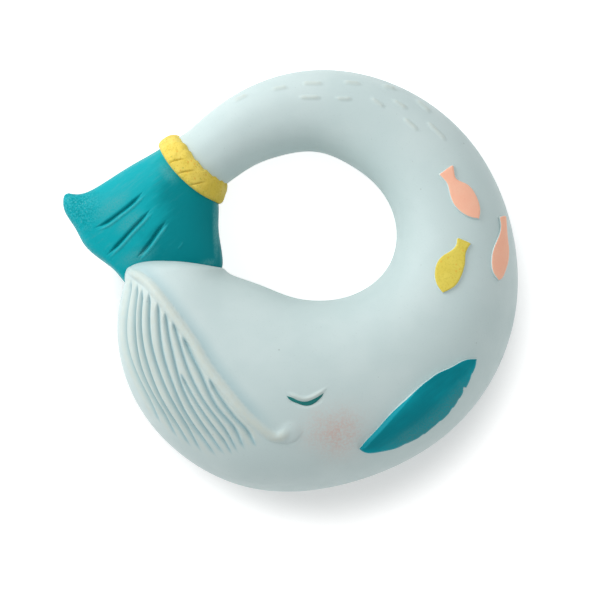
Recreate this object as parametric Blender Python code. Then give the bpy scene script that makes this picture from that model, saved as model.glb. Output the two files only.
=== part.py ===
"""Whale teether: a hollow natural-rubber ring shaped as a whale that lies curled up, its tail on its snout.

The ring lies on its side as on a table, so +Z is up and the drawing is a plan in X and Y. Plan
positions are measured from the middle of the ring's hole. The finished model is moved at the end so
that the origin is the middle of its box at table level.

The whale is one sweep of oval sections, from the fluke's trailing edge round the ring to the snout.
The sweep is split under the collar: the hollow body on one side, and on the other the fluke, whose
spigot closes the body's open end. Relief on the body is read off a drawing from above, found on the
near flank along the drawing's lines of sight, and mirrored to the far flank in plan.
"""

import math

import bmesh
import bpy
import numpy as np
from mathutils import Vector
from mathutils.bvhtree import BVHTree

MM = 0.001

# Radii and heights in the table of sections count in this unit.
PLAN_UNIT = 1.0 * MM

# Lines and outlines are read off the drawing in its own units, which count rightwards and downwards.
# The unit's length holds at the height of focus, and the eye is above the middle of the drawing.
DRAWING_UNIT = 0.22 * MM
DRAWING_HOLE = (307.0, 228.0)
DRAWING_MIDDLE = (300.0, 300.0)
FOCUS_HEIGHT = 16.0 * MM
EYE_DISTANCE = 850.0 * MM

# Sections of the sweep, from the fluke's trailing edge to the snout. Each row holds the bearing in
# degrees and the radius of the section's edge on the hole side, the same of its outer edge, both
# about the middle of the hole, and the height of its underside above the table.
SECTIONS = (
    (199.7, 39.0, 171.6, 53.1, 9.6),
    (208.5, 26.2, 170.05, 48.45, 7.9),
    (204.4, 20.2, 164.7, 44.0, 6.2),
    (181.5, 19.2, 158.5, 40.2, 5.2),
    (166.0, 20.1, 152.5, 37.3, 4.4),
    (158.0, 21.0, 147.0, 35.5, 3.9),
    (149.0, 20.0, 142.0, 34.2, 3.3),
    (133.0, 18.4, 131.0, 33.55, 2.2),
    (112.0, 17.2, 111.0, 33.9, 0.9),
    (85.0, 17.1, 85.0, 35.3, 0.0),
    (55.0, 17.0, 55.0, 37.7, 0.0),
    (28.0, 18.3, 28.0, 41.0, 0.0),
    (0.0, 19.7, 0.0, 45.2, 0.0),
    (-25.0, 19.8, -25.0, 50.1, 0.0),
    (-50.0, 18.2, -50.0, 54.1, 0.0),
    (-78.0, 16.3, -78.0, 56.5, 0.0),
    (-104.0, 15.5, -104.0, 58.4, 0.0),
    (-124.0, 15.8, -125.0, 55.85, 0.0),
    (-139.0, 17.5, -141.0, 51.5, 0.0),
    (-151.6, 20.1, -158.0, 44.5, 0.6),
    (-154.2, 20.3, -163.6, 41.8, 1.4),
)
MOUTH_ROW = 5
HEAD_ROW = 17

# The two flanks mirror each other in a plane that rises towards the thick head.
MID_HEIGHT = 12.8 * MM
MID_SLOPE = 0.127
SOLE_DEPTH = 0.4 * MM
SECTION_FULLNESS = 2.15
SNOUT_LENGTH = 3.1 * MM
SNOUT_FULLNESS = 3.2
SNOUT_SKEW = 0.70
SNOUT_SAG = 0.25
TRAILING_ROUND = 2.9 * MM
TRAILING_BOW = 1.3 * MM
TRAILING_SWELL = 0.03
# How far the fluke's trailing edge is drawn out, from the hole side at -1 to the outer side at 1, as shares
# of TRAILING_ROUND.
TRAILING_SHAPE = ((-1.0, 0.45), (-0.74, 0.52), (-0.5, 0.44), (-0.3, 0.58), (-0.1, 0.82), (0.1, 1.0),
                  (0.4, 0.89), (0.7, 0.94), (0.9, 0.84), (1.0, 0.62))
# Sections are grown by this, so that the flat facets between them don't cut into the true form.
FACET_GROWTH = 0.08 * MM

WALL = 3.0 * MM
CLEARANCE = 0.3 * MM
SPIGOT_LENGTH = 7.0 * MM

COLLAR_WIDTH = 4.6 * MM
COLLAR_THICKNESS = 1.6 * MM
RIB_COUNT = 18
RIB_DEPTH = 0.45 * MM
RIB_SLANT = -1.2
RIB_FIRST = 0.0
RIB_REACH = 0.2

RIDGE_SINK = 0.35
LIP_RADIUS = 1.2 * MM
LIP_SINK = 0.15 * MM
CHEEK_RADIUS = 1.6 * MM
CHEEK_SINK = 0.9 * MM
PLEAT_RADIUS = 0.6 * MM
PLEAT_RISE = 0.1
LID_RADIUS = 0.65 * MM
LID_SINK = 0.2
DASH_RADIUS = 0.55 * MM
GROOVE_RADIUS = 0.75 * MM

FLIPPER_EDGE = 0.7 * MM
FLIPPER_CROWN = 0.9 * MM
FISH_EDGE = 0.35 * MM
# A pad that is narrower than this has less of a crown.
PAD_WIDTH = 5.0 * MM
FISH_CROWN = 0.3 * MM
LASH_DEPTH = 0.6 * MM

# Outlines and paths in drawing units.
LIP_PATH = ((122.5, 266.0), (136.0, 274.4), (147.2, 282.2), (158.0, 294.4), (169.2, 309.0), (182.0, 326.4),
            (194.7, 344.3), (202.3, 357.9), (215.7, 377.5), (230.0, 395.4), (244.3, 412.3), (258.6, 425.7),
            (267.4, 432.4), (278.0, 436.4))
CHEEK_SPOT = (290.6, 433.4)
PLEATS = (
    ((130.6, 280.5), (126, 309), (125, 338), (133, 369), (144.8, 394), (159, 420)),
    ((136.7, 285), (133.8, 309), (134, 338), (139.6, 368), (150.6, 393.6), (166.4, 420), (174.7, 433)),
    ((141, 289), (139.6, 312), (140.8, 341), (147.2, 368), (157, 393.6), (173.6, 422), (188.5, 443)),
    ((149, 292.6), (148, 315.6), (149.6, 341), (157, 369), (166.8, 393.6), (180.4, 418), (199.2, 448)),
    ((157.7, 302), (158.4, 325), (162.2, 355), (171, 383), (181, 407), (195.8, 431), (213.7, 453)),
    ((165.4, 312), (168, 335), (172.2, 355), (178.6, 380.6), (188.2, 403.5), (203.4, 428), (222.9, 451.7)),
    ((181.2, 375), (185.2, 383.6), (190.4, 393.6), (203.6, 415), (219.6, 436.4), (228.5, 450)),
    ((172.7, 320.7), (179.3, 344.5), (186.4, 367), (195.2, 387.4), (208.2, 409), (224.2, 430), (234.5, 448)),
    ((183, 336), (190.8, 354.5), (200, 373.7), (208.2, 393), (221.8, 415), (232.8, 427.5), (241.6, 444.5)),
    ((209.6, 379), (214.8, 390), (221.6, 400.7), (229.2, 411.4), (238, 422), (245.6, 430), (253.2, 441.8)),
)
LASH_PATH = ((286.4, 396.8), (293.0, 399.4), (300.0, 402.2), (307.5, 403.3), (313.4, 402.0), (319.3, 398.6),
             (324.6, 392.4))
LASH_WIDTH = 0.95 * MM
LID_PATH = ((285.0, 392.6), (294.0, 396.2), (300.6, 398.6), (307.5, 399.2), (313.4, 397.7), (319.8, 393.9),
            (327.0, 388.2))
FLIPPER_LEADING = ((358.7, 448.8), (365.4, 440.6), (376.6, 428.8), (390.5, 413.0), (404.7, 399.2),
                   (421.5, 384.4), (434.6, 374.6), (442.6, 370.4), (452.4, 366.0), (466.0, 359.2),
                   (477.0, 358.6))
FLIPPER_TRAILING = ((358.7, 448.8), (362.6, 451.9), (366.8, 453.4), (374.0, 453.4), (382.2, 452.0),
                    (396.3, 448.7), (410.3, 442.4), (421.5, 436.8), (431.4, 429.1), (441.2, 421.4),
                    (451.0, 411.6), (458.4, 401.2), (465.0, 390.6), (469.2, 382.6), (472.4, 374.6),
                    (475.8, 366.6), (477.0, 358.6))
GROOVES = (((145, 191.5), (129.5, 205.3), (117.5, 214.7), (106.4, 222.7), (93, 230.5)),
           ((153, 207), (139.5, 221.5), (130, 231.4), (122.3, 240), (115.6, 247), (106, 256)),
           ((166, 221.8), (157, 233), (149, 244.3), (139, 258.5)))
DASHES = (((299, 97.3), (321, 97.3)), ((336, 98.3), (352, 98.8)), ((371.4, 98.2), (384, 107)),
          ((404, 118), (418, 131)), ((234, 101), (248, 94.6)), ((271.4, 89.3), (287.5, 87)),
          ((301.8, 83.4), (323, 83.4)), ((343, 82), (360.7, 84)), ((393, 100), (407, 109)),
          ((426.8, 121.4), (446.4, 141)), ((382, 85.7), (396.4, 89.3)), ((416, 100), (430.4, 112.5)))
# Fish: the two edges from the tail fin to the nose, and the paint.
FISH = {
    "fish_coral_upper": (
        ((437.3, 174.0), (441.5, 178.5), (445.3, 182.8), (448.4, 192.0), (452.3, 203.5), (460.5, 212.8),
         (471.0, 218.3), (479.4, 219.7)),
        ((453.3, 163.8), (454.8, 171.0), (456.2, 177.4), (465.9, 182.9), (474.3, 191.0), (479.2, 201.6),
         (480.9, 210.5), (479.4, 219.7)),
        "coral",
    ),
    "fish_coral_edge": (
        ((498.2, 216.0), (499.7, 223.6), (499.2, 232.0), (495.3, 241.8), (491.5, 253.3), (490.7, 263.0),
         (492.7, 273.3), (498.3, 281.0)),
        ((506.5, 215.0), (507.2, 223.0), (508.2, 236.0), (509.6, 251.0), (508.6, 262.8), (505.3, 273.3),
         (501.5, 279.5), (498.3, 281.0)),
        "coral",
    ),
    "fish_mustard": (
        ((456.6, 236.5), (455, 245.7), (441.4, 256), (434.4, 270), (436.6, 285.3), (442.5, 293.4)),
        ((472.3, 243), (466.4, 253.3), (465.8, 261.4), (463, 273.3), (455.5, 286.3), (442.5, 293.4)),
        "mustard",
    ),
}

AROUND = 32
STEP_ALONG = 3.0 * MM
CAVITY_AROUND = 16
CAVITY_STEP = 7.0 * MM
CAP_STEPS = 5
DROP_HEIGHT = 200 * MM

COLOURS = {
    "pale_blue": (0.57, 0.71, 0.72),
    "teal": (0.0, 0.24, 0.28),
    "yellow": (0.76, 0.54, 0.05),
    "mustard": (0.60, 0.51, 0.06),
    "coral": (1.0, 0.38, 0.24),
}
ROUGHNESS = 0.6


# Splines and plan geometry


def natural_spline(knots, values):
    """Returns the natural cubic spline through values, one row for each knot, as a function of t."""
    knots = np.asarray(knots, float)
    values = np.asarray(values, float)
    gaps = np.diff(knots)
    slopes = np.diff(values, axis=0) / gaps[:, None]
    system = np.eye(len(knots))
    right = np.zeros_like(values)
    for i in range(1, len(knots) - 1):
        system[i, i - 1 : i + 2] = gaps[i - 1], 2 * (gaps[i - 1] + gaps[i]), gaps[i]
        right[i] = 6 * (slopes[i] - slopes[i - 1])
    bends = np.linalg.solve(system, right)

    def at(t):
        i = int(np.clip(np.searchsorted(knots, t) - 1, 0, len(gaps) - 1))
        before, after, gap = t - knots[i], knots[i + 1] - t, gaps[i]
        curve = (bends[i] * after**3 + bends[i + 1] * before**3) / (6 * gap)
        line = (values[i] / gap - bends[i] * gap / 6) * after
        return curve + line + (values[i + 1] / gap - bends[i + 1] * gap / 6) * before

    return at


def through(places):
    """Returns the smooth curve through plan places, as a function of a share from 0 to 1."""
    lengths = np.linalg.norm(np.diff(places, axis=0), axis=1)
    knots = np.concatenate([[0.0], np.cumsum(lengths)]) / lengths.sum()
    return natural_spline(knots, places)


def drawn(points):
    """Plan places of points of the drawing at the height of focus."""
    return (np.asarray(points, float) - DRAWING_HOLE) * (DRAWING_UNIT, -DRAWING_UNIT)


def polar(bearing, radius):
    angle = math.radians(bearing)
    return np.array((math.cos(angle), math.sin(angle))) * radius * PLAN_UNIT


def mid_height(y):
    return MID_HEIGHT - MID_SLOPE * y


# The sweep


class Sweep:
    """The whale's form as oval sections along its spine. t is the distance along the spine."""

    def __init__(self):
        inner = np.array([polar(row[0], row[1]) for row in SECTIONS])
        outer = np.array([polar(row[2], row[3]) for row in SECTIONS])
        lift = np.array([[row[4] * PLAN_UNIT] for row in SECTIONS])
        steps = np.linalg.norm(np.diff((inner + outer) / 2, axis=0), axis=1)
        self.knots = np.concatenate([[0.0], np.cumsum(steps)])
        self.rails = natural_spline(self.knots, np.hstack([inner, outer, lift]))

    def place(self, t):
        """Centre, half width towards the outer edge and half depth of the section at t."""
        row = self.rails(t)
        centre = (row[0:2] + row[2:4]) / 2
        half_depth = mid_height(centre[1]) + SOLE_DEPTH - row[4]
        return centre, (row[2:4] - row[0:2]) / 2, half_depth

    def taper(self, t):
        """Share of its depth that the sweep loses over each metre at t."""
        step = self.knots[-1] / 250
        before, here = self.place(t - step)[2], self.place(t)[2]
        return (before - here) / (step * here)

    def ring(self, t, count, grow=0.0, scale=1.0, shift=0.0, flat=1.0, bow=0.0):
        """Points round the section at t.

        shift moves them along the spine and flat scales their height, both for the ring or point by point.
        """
        centre, half, depth = self.place(t)
        width = np.linalg.norm(half)
        across = half / width
        along = np.array((across[1], -across[0]))
        grow = grow + FACET_GROWTH
        shift = np.broadcast_to(shift, count)
        flat = np.broadcast_to(flat, count)
        points = []
        for k in range(count):
            c, s = math.cos(2 * math.pi * k / count), math.sin(2 * math.pi * k / count)
            wide = math.copysign(abs(c) ** (2 / SECTION_FULLNESS), c) * (width * scale + grow)
            tall = math.copysign(abs(s) ** (2 / SECTION_FULLNESS), s) * (depth * scale + grow) * flat[k]
            plan = centre + across * wide + along * (shift[k] + bow * (1 - c * c))
            points.append((plan[0], plan[1], mid_height(centre[1] + along[1] * shift[k]) + tall))
        return points

    def snout_rings(self, count, grow=0.0):
        """Rings that close the sweep in a blunt snout, drawn out on its outer side, the last one small."""
        end = self.knots[-1]
        cosines = np.cos(2 * np.pi * np.arange(count) / count)
        rings = []
        for step in range(1, CAP_STEPS + 1):
            share = math.sin(math.pi / 2 * step / (CAP_STEPS + 0.35))
            scale = (1 - share**SNOUT_FULLNESS) ** (1 / SNOUT_FULLNESS)
            aside = scale * cosines
            reach = share * (SNOUT_LENGTH * (1 + SNOUT_SKEW * aside - SNOUT_SAG * aside**2) + grow)
            rings.append(self.ring(end, count, grow * scale, scale, reach, 1 - self.taper(end) * reach))
        return rings


SWEEP = Sweep()


def stations(start, end, step):
    count = max(2, round(abs(end - start) / step) + 1)
    return np.linspace(start, end, count)


# Meshes and objects


def material(name):
    made = bpy.data.materials.get(name)
    if made is None:
        made = bpy.data.materials.new(name)
        made.use_nodes = True
        shader = made.node_tree.nodes["Principled BSDF"]
        shader.inputs["Base Color"].default_value = (*COLOURS[name], 1.0)
        shader.inputs["Roughness"].default_value = ROUGHNESS
        shader.inputs["Metallic"].default_value = 0.0
    return made


def new_object(name, mesh, collection, colour=None):
    made = bpy.data.objects.new(name, mesh)
    bpy.data.collections[collection].objects.link(made)
    if collection == "cutters":
        made.hide_render = True
        made.display_type = "WIRE"
        return made
    mesh.materials.append(material(colour))
    mesh.shade_smooth()
    mesh.set_sharp_from_angle(angle=math.radians(40))
    return made


def mesh_of(name, shape):
    bmesh.ops.recalc_face_normals(shape, faces=shape.faces)
    mesh = bpy.data.meshes.new(name)
    shape.to_mesh(mesh)
    shape.free()
    return mesh


def loft(name, rings, closed=False):
    """A solid through rings of points. The two end rings are capped, or joined if closed."""
    shape = bmesh.new()
    loops = [[shape.verts.new(point) for point in ring] for ring in rings]
    pairs = list(zip(loops, loops[1:]))
    if closed:
        pairs.append((loops[-1], loops[0]))
    for first, second in pairs:
        for k in range(len(first)):
            after = (k + 1) % len(first)
            shape.faces.new((first[k], first[after], second[after], second[k]))
    if not closed:
        shape.faces.new(loops[0])
        shape.faces.new(loops[-1])
    return mesh_of(name, shape)


def tube(path, radii):
    """A round bar along points in space, one radius for each, as a mesh with welded caps."""
    curve = bpy.data.curves.new("bar", "CURVE")
    curve.dimensions = "3D"
    curve.bevel_depth = 1.0
    curve.bevel_resolution = 1
    curve.use_fill_caps = True
    spline = curve.splines.new("POLY")
    spline.points.add(len(path) - 1)
    for point, place, radius in zip(spline.points, path, radii):
        point.co = (*place, 1.0)
        point.radius = radius
    bar = bpy.data.objects.new("bar", curve)
    bpy.data.collections["cutters"].objects.link(bar)
    graph = bpy.context.evaluated_depsgraph_get()
    mesh = bpy.data.meshes.new_from_object(bar.evaluated_get(graph))
    bpy.data.objects.remove(bar)
    bpy.data.curves.remove(curve)
    return mesh


def gather(name, meshes):
    """One hidden object that holds all these meshes, for use in a Boolean."""
    shape = bmesh.new()
    for mesh in meshes:
        shape.from_mesh(mesh)
        bpy.data.meshes.remove(mesh)
    bmesh.ops.remove_doubles(shape, verts=shape.verts, dist=0.001 * MM)
    return new_object(name, mesh_of(name, shape), "cutters")


def boolean(obj, other, operation):
    modifier = obj.modifiers.new(other.name, "BOOLEAN")
    modifier.object = other
    modifier.operation = operation
    modifier.solver = "EXACT"
    return modifier


# Dropping plan drawings on the body


class Skin:
    """The body's smooth outside, on which relief is placed."""

    def __init__(self, mesh):
        shape = bmesh.new()
        shape.from_mesh(mesh)
        for vert in shape.verts:
            vert.co.z = max(vert.co.z, 0.0)
        self.tree = BVHTree.FromBMesh(shape)
        shape.free()

    def seen(self, points):
        """Plan places of what the drawing shows at these points, found along its lines of sight."""
        x, y = drawn([DRAWING_MIDDLE])[0]
        eye = Vector((x, y, FOCUS_HEIGHT + EYE_DISTANCE))
        places = []
        for x, y in drawn(points):
            place, _, _, _ = self.tree.ray_cast(eye, Vector((x, y, FOCUS_HEIGHT)) - eye)
            places.append((x, y) if place is None else place[:2])
        return np.array(places)

    def line(self, points):
        """The smooth plan curve through points of the drawing, as a function of a share from 0 to 1."""
        return through(self.seen(points))

    def drop(self, plan, side):
        """The skin's point at this plan place and its outward normal: side 1 from above, -1 from below.

        A place beside the body gives the nearest point of its edge.
        """
        start = Vector((plan[0], plan[1], side * DROP_HEIGHT))
        place, normal, _, _ = self.tree.ray_cast(start, Vector((0, 0, -side)))
        if place is None:
            place, normal = self.edge(plan)
        return np.array(place), np.array(normal)

    def edge(self, plan):
        """The point of the skin nearest to this plan place on the whale's middle plane, and its normal."""
        place, normal, _, _ = self.tree.find_nearest(Vector((plan[0], plan[1], mid_height(plan[1]))))
        return np.array(place), np.array(normal)

    def path(self, plans, sinks, side):
        """Points along the skin, each sunk in it by its own depth."""
        points = []
        for plan, sink in zip(plans, sinks):
            place, normal = self.drop(plan, side)
            points.append(place - normal * sink)
        return points

    def ridge(self, plans, radii, side, sink=RIDGE_SINK):
        """A bar that lies along the skin, sunk in it by a share of its radius."""
        return tube(self.path(plans, [radius * sink for radius in radii], side), radii)

    def pad(self, name, rows, side, base, edge, crown, colour=None):
        """A pad from base above the skin up, whose top lies over a grid of plan points.

        It is thickest in its middle, less so where it is narrow, and stays above the table. Without a
        colour it is a hidden cutter, which need not.
        """
        floor = 0.0 if colour else -DROP_HEIGHT
        shape = bmesh.new()
        under, over = [], []
        for row in rows:
            lows, highs = [], []
            swell = crown * min(1.0, np.linalg.norm(row[-1] - row[0]) / PAD_WIDTH)
            for k, plan in enumerate(row):
                top = base + edge + swell * math.sin(math.pi * k / (len(row) - 1))
                _, lean = self.drop(plan, side)
                place, normal = self.drop(plan - lean[:2] * max(top, 0.0), side)
                low = place + normal * base
                high = place + normal * top
                lows.append(shape.verts.new((low[0], low[1], max(low[2], floor))))
                highs.append(shape.verts.new((high[0], high[1], max(high[2], floor))))
            under.append(lows)
            over.append(highs)
        last_row, last = len(rows) - 1, len(rows[0]) - 1
        for i in range(last_row):
            for k in range(last):
                for grid in (under, over):
                    shape.faces.new((grid[i][k], grid[i + 1][k], grid[i + 1][k + 1], grid[i][k + 1]))
        rim = [(0, k) for k in range(last)] + [(i, last) for i in range(last_row)]
        rim += [(last_row, k) for k in range(last, 0, -1)] + [(i, 0) for i in range(last_row, 0, -1)]
        for (i, k), (j, m) in zip(rim, rim[1:] + rim[:1]):
            shape.faces.new((under[i][k], under[j][m], over[j][m], over[i][k]))
        return new_object(name, mesh_of(name, shape), "whale_teether" if colour else "cutters", colour)


# Plan drawings


def spaced(curve, count, start=0.0, end=1.0):
    return [curve(start + (end - start) * k / (count - 1)) for k in range(count)]


def tapered(radius, count, least=0.35):
    """Radii of a bar that thins towards both ends."""
    shares = [math.sin(math.pi * (k + 0.5) / count) ** 0.5 for k in range(count)]
    return [radius * max(least, share) for share in shares]


def lip_bar(skin, grow):
    """One bar from the near cheek along the lip, round the tip of the snout and back to the far cheek."""
    plans = spaced(skin.line(LIP_PATH), 15)
    cheek = skin.seen([CHEEK_SPOT])[0]
    plans += [(plans[-1] + cheek) / 2, cheek]
    radii = [LIP_RADIUS + grow] * (len(plans) - 1) + [CHEEK_RADIUS + grow]
    sinks = [LIP_SINK] * (len(plans) - 1) + [CHEEK_SINK]
    tip, _ = skin.edge(plans[0])
    near = skin.path(plans, sinks, 1)
    far = skin.path(plans, sinks, -1)
    gaps = [min(np.linalg.norm(one - tip), np.linalg.norm(other - tip)) for one, other in zip(near, far)]
    clear = [k for k, gap in enumerate(gaps) if gap > LIP_RADIUS]
    near, far, radii = [near[k] for k in clear], [far[k] for k in clear], [radii[k] for k in clear]
    return tube([*near[::-1], tip, *far], [*radii[::-1], LIP_RADIUS + grow, *radii])


def pleat_bars(skin, side):
    """Bars that cut the valleys between the throat's pleats."""
    count = 11
    bars = []
    for pleat in PLEATS:
        plans = spaced(skin.line(pleat), count)
        bars.append(skin.ridge(plans, tapered(PLEAT_RADIUS, count), side, -PLEAT_RISE))
    return bars


def lid_bar(skin, side):
    count = 7
    return skin.ridge(spaced(skin.line(LID_PATH), count), tapered(LID_RADIUS, count), side, LID_SINK)


def dash_bars(skin, side):
    bars = []
    for dash in DASHES:
        plans = spaced(skin.line(dash), 3)
        bars.append(skin.ridge(plans, tapered(DASH_RADIUS, len(plans), 0.6), side))
    return bars


def lash_rows(skin, grow):
    """Plan grid of the eye line, a crescent widest in its middle, with its edges moved out by grow."""
    count, across = 11, 2
    curve = skin.line(LASH_PATH)
    share_grow = grow / np.linalg.norm(curve(1.0) - curve(0.0))
    rows = []
    for k in range(count):
        share = k / (count - 1)
        reach = LASH_WIDTH / 2 * max(0.3, math.sin(math.pi * share)) + grow
        spot = curve(share + share_grow * (2 * share - 1))
        rows.append([spot + np.array((0.0, reach * (1 - 2 * m / across))) for m in range(across + 1)])
    return rows


def rows_between(skin, left, right, count, across):
    """Plan grid between two drawn edges, up to just short of where they meet."""
    first, second = skin.line(left), skin.line(right)
    rows = []
    for k in range(count):
        share = 0.015 + 0.97 * k / (count - 1)
        start, end = first(share), second(share)
        rows.append([start + (end - start) * m / across for m in range(across + 1)])
    return rows


# Pieces


def table():
    """A block under the table plane, which gives the body its flat sole."""
    shape = bmesh.new()
    bmesh.ops.create_cube(shape, size=2 * DROP_HEIGHT)
    bmesh.ops.translate(shape, verts=shape.verts, vec=(0, 0, -DROP_HEIGHT))
    return new_object("table", mesh_of("table", shape), "cutters")


def body_shell():
    stops = stations(SWEEP.knots[MOUTH_ROW], SWEEP.knots[-1], STEP_ALONG)
    rings = [SWEEP.ring(t, AROUND) for t in stops] + SWEEP.snout_rings(AROUND)
    body = new_object("body_shell", loft("body_shell", rings), "whale_teether", "pale_blue")
    skin = Skin(body.data)

    pleats = [bar for side in (1, -1) for bar in pleat_bars(skin, side)]
    boolean(body, gather("pleat_bars", pleats), "DIFFERENCE").use_self = True
    raised = [lip_bar(skin, 0.0)]
    for side in (1, -1):
        raised += [lid_bar(skin, side), *dash_bars(skin, side)]
    boolean(body, gather("lip_lid_and_dash_bars", raised), "UNION")
    boolean(body, table(), "DIFFERENCE")
    for side, word in ((1, "near"), (-1, "far")):
        rows = lash_rows(skin, CLEARANCE)
        pocket = skin.pad(f"lash_pocket_{word}", rows, side, -LASH_DEPTH - CLEARANCE, 3 * LASH_DEPTH, 0.0)
        boolean(body, pocket, "DIFFERENCE")

    hollow = stations(SWEEP.knots[MOUTH_ROW] - WALL, SWEEP.knots[-1] - 2 * WALL, CAVITY_STEP)
    rings = [SWEEP.ring(t, CAVITY_AROUND, -WALL) for t in hollow]
    rings.append(SWEEP.ring(SWEEP.knots[-1] - WALL, CAVITY_AROUND, -WALL, 0.7))
    cavity = new_object("cavity", loft("cavity", rings), "cutters")
    boolean(body, cavity, "DIFFERENCE")
    return body, skin


def tail_fluke(skin):
    mouth = SWEEP.knots[MOUTH_ROW] - CLEARANCE
    plug = -(WALL + CLEARANCE)
    rings = [
        SWEEP.ring(mouth + SPIGOT_LENGTH, AROUND, plug - CLEARANCE),
        SWEEP.ring(mouth + SPIGOT_LENGTH / 2, AROUND, plug - CLEARANCE / 2),
        SWEEP.ring(mouth, AROUND, plug),
    ]
    start = SWEEP.knots[0]
    for t in stations(mouth, start, STEP_ALONG):
        bow = TRAILING_BOW * (1 - (t - start) / (mouth - start))
        rings.append(SWEEP.ring(t, AROUND, bow=-bow))
    edge = natural_spline([place for place, _ in TRAILING_SHAPE], [[share] for _, share in TRAILING_SHAPE])
    reach = np.array([edge(math.cos(2 * math.pi * k / AROUND))[0] for k in range(AROUND)])
    for step in range(1, CAP_STEPS):
        share = math.sin(math.pi / 2 * step / (CAP_STEPS - 0.6))
        swell = 1 + TRAILING_SWELL * math.sin(math.pi * share) - 0.02 * share
        slide = -TRAILING_ROUND * share * reach
        rings.append(SWEEP.ring(start, AROUND, 0.0, swell, slide, math.sqrt(1 - share**2), -TRAILING_BOW))
    fluke = new_object("tail_fluke", loft("tail_fluke", rings), "whale_teether", "teal")

    stops = stations(SWEEP.knots[HEAD_ROW], SWEEP.knots[-1], STEP_ALONG)
    head = [SWEEP.ring(t, AROUND, CLEARANCE) for t in stops] + SWEEP.snout_rings(AROUND, CLEARANCE)
    boolean(fluke, new_object("snout_room", loft("snout_room", head), "cutters"), "DIFFERENCE")
    boolean(fluke, gather("lip_room", [lip_bar(skin, CLEARANCE)]), "DIFFERENCE")

    own = Skin(fluke.data)
    bars = []
    for side in (1, -1):
        for groove in GROOVES:
            plans = spaced(own.line(groove), 7)
            bars.append(own.ridge(plans, tapered(GROOVE_RADIUS, len(plans), 0.25), side, -0.3))
    boolean(fluke, gather("groove_bars", bars), "DIFFERENCE")
    return fluke


def tail_collar():
    """A sleeve round the joint of tail stock and fluke, with a rounded outside and slanted grooves."""
    around = RIB_COUNT * 7
    middle = SWEEP.knots[MOUTH_ROW]
    outside = np.array(SWEEP.ring(middle, around, COLLAR_THICKNESS))
    steps = np.linalg.norm(np.roll(outside, -1, axis=0) - outside, axis=1)
    lap = (np.cumsum(steps) - steps) / steps.sum()
    # Cross-section of the sleeve: place along the spine as a share of half the width, and thickness share.
    profile = ((-1.0, 0.0), (-1.0, 0.45), (-0.72, 0.9), (0.0, 1.0), (0.72, 0.9), (1.0, 0.45), (1.0, 0.0))
    loops = []
    for place, share in profile:
        offset = place * COLLAR_WIDTH / 2
        outer, inner = COLLAR_THICKNESS * share, (COLLAR_THICKNESS - RIB_DEPTH) * share
        plain = np.array(SWEEP.ring(middle + offset, around, CLEARANCE + outer))
        carved = np.array(SWEEP.ring(middle + offset, around, CLEARANCE + inner))
        turn = RIB_COUNT * lap + RIB_FIRST + RIB_SLANT * (place + 1) / 2
        crest = np.clip(np.abs(turn - np.round(turn)) / RIB_REACH, 0.0, 1.0)
        loops.append(carved + (plain - carved) * crest[:, None])
    return new_object("tail_collar", loft("tail_collar", loops, closed=True), "whale_teether", "yellow")


def flipper(skin, side, name):
    rows = rows_between(skin, FLIPPER_LEADING, FLIPPER_TRAILING, 24, 6)
    return skin.pad(name, rows, side, CLEARANCE, FLIPPER_EDGE, FLIPPER_CROWN, "teal")


def fish(skin, name):
    left, right, colour = FISH[name]
    rows = rows_between(skin, left, right, 15, 4)
    return skin.pad(name, rows, 1, CLEARANCE, FISH_EDGE, FISH_CROWN, colour)


def lash(skin, side, name):
    """The eye line, let into the body so that its outside is flush."""
    return skin.pad(name, lash_rows(skin, 0.0), side, -LASH_DEPTH, LASH_DEPTH, 0.0, "teal")


def stand_on_origin(parts):
    """Parents the parts to an empty that puts the middle of their box, at table level, at the origin."""
    bpy.context.view_layer.update()
    graph = bpy.context.evaluated_depsgraph_get()
    corners = []
    for part in parts:
        seen = part.evaluated_get(graph)
        corners += [seen.matrix_world @ Vector(corner) for corner in seen.bound_box]
    low = np.min(corners, axis=0)
    high = np.max(corners, axis=0)
    root = bpy.data.objects.new("whale_teether_frame", None)
    bpy.data.collections["whale_teether"].objects.link(root)
    root.location = (-(low[0] + high[0]) / 2, -(low[1] + high[1]) / 2, -low[2])
    for part in parts:
        part.parent = root
    for cutter in bpy.data.collections["cutters"].objects:
        cutter.parent = root


def main():
    for old in list(bpy.data.objects):
        bpy.data.objects.remove(old)
    for name in ("whale_teether", "cutters"):
        bpy.context.scene.collection.children.link(bpy.data.collections.new(name))
    body, skin = body_shell()
    parts = [body, tail_fluke(skin), tail_collar()]
    for side, word in ((1, "near"), (-1, "far")):
        parts.append(flipper(skin, side, f"flipper_{word}"))
        parts.append(lash(skin, side, f"lash_{word}"))
    parts += [fish(skin, name) for name in FISH]
    stand_on_origin(parts)


main()
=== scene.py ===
"""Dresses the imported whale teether: a hollow rubber ring, painted by hand, that lies on its flank.

All forms repeat the plan drawing that the solids follow. Plan places are in metres from the middle of
the ring's hole, with the table at height zero. Fine lines are read off the drawing in its own units,
which count from its upper left corner. Each piece is made in plan places and moved to its place in the
model as its mesh is written.
"""

import logging
import math
from collections.abc import Sequence
from dataclasses import dataclass, field, replace
from enum import Enum
from functools import cached_property

import bmesh
import bpy
import numpy as np
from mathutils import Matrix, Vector
from mathutils.bvhtree import BVHTree
from mathutils.interpolate import poly_3d_calc

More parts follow.
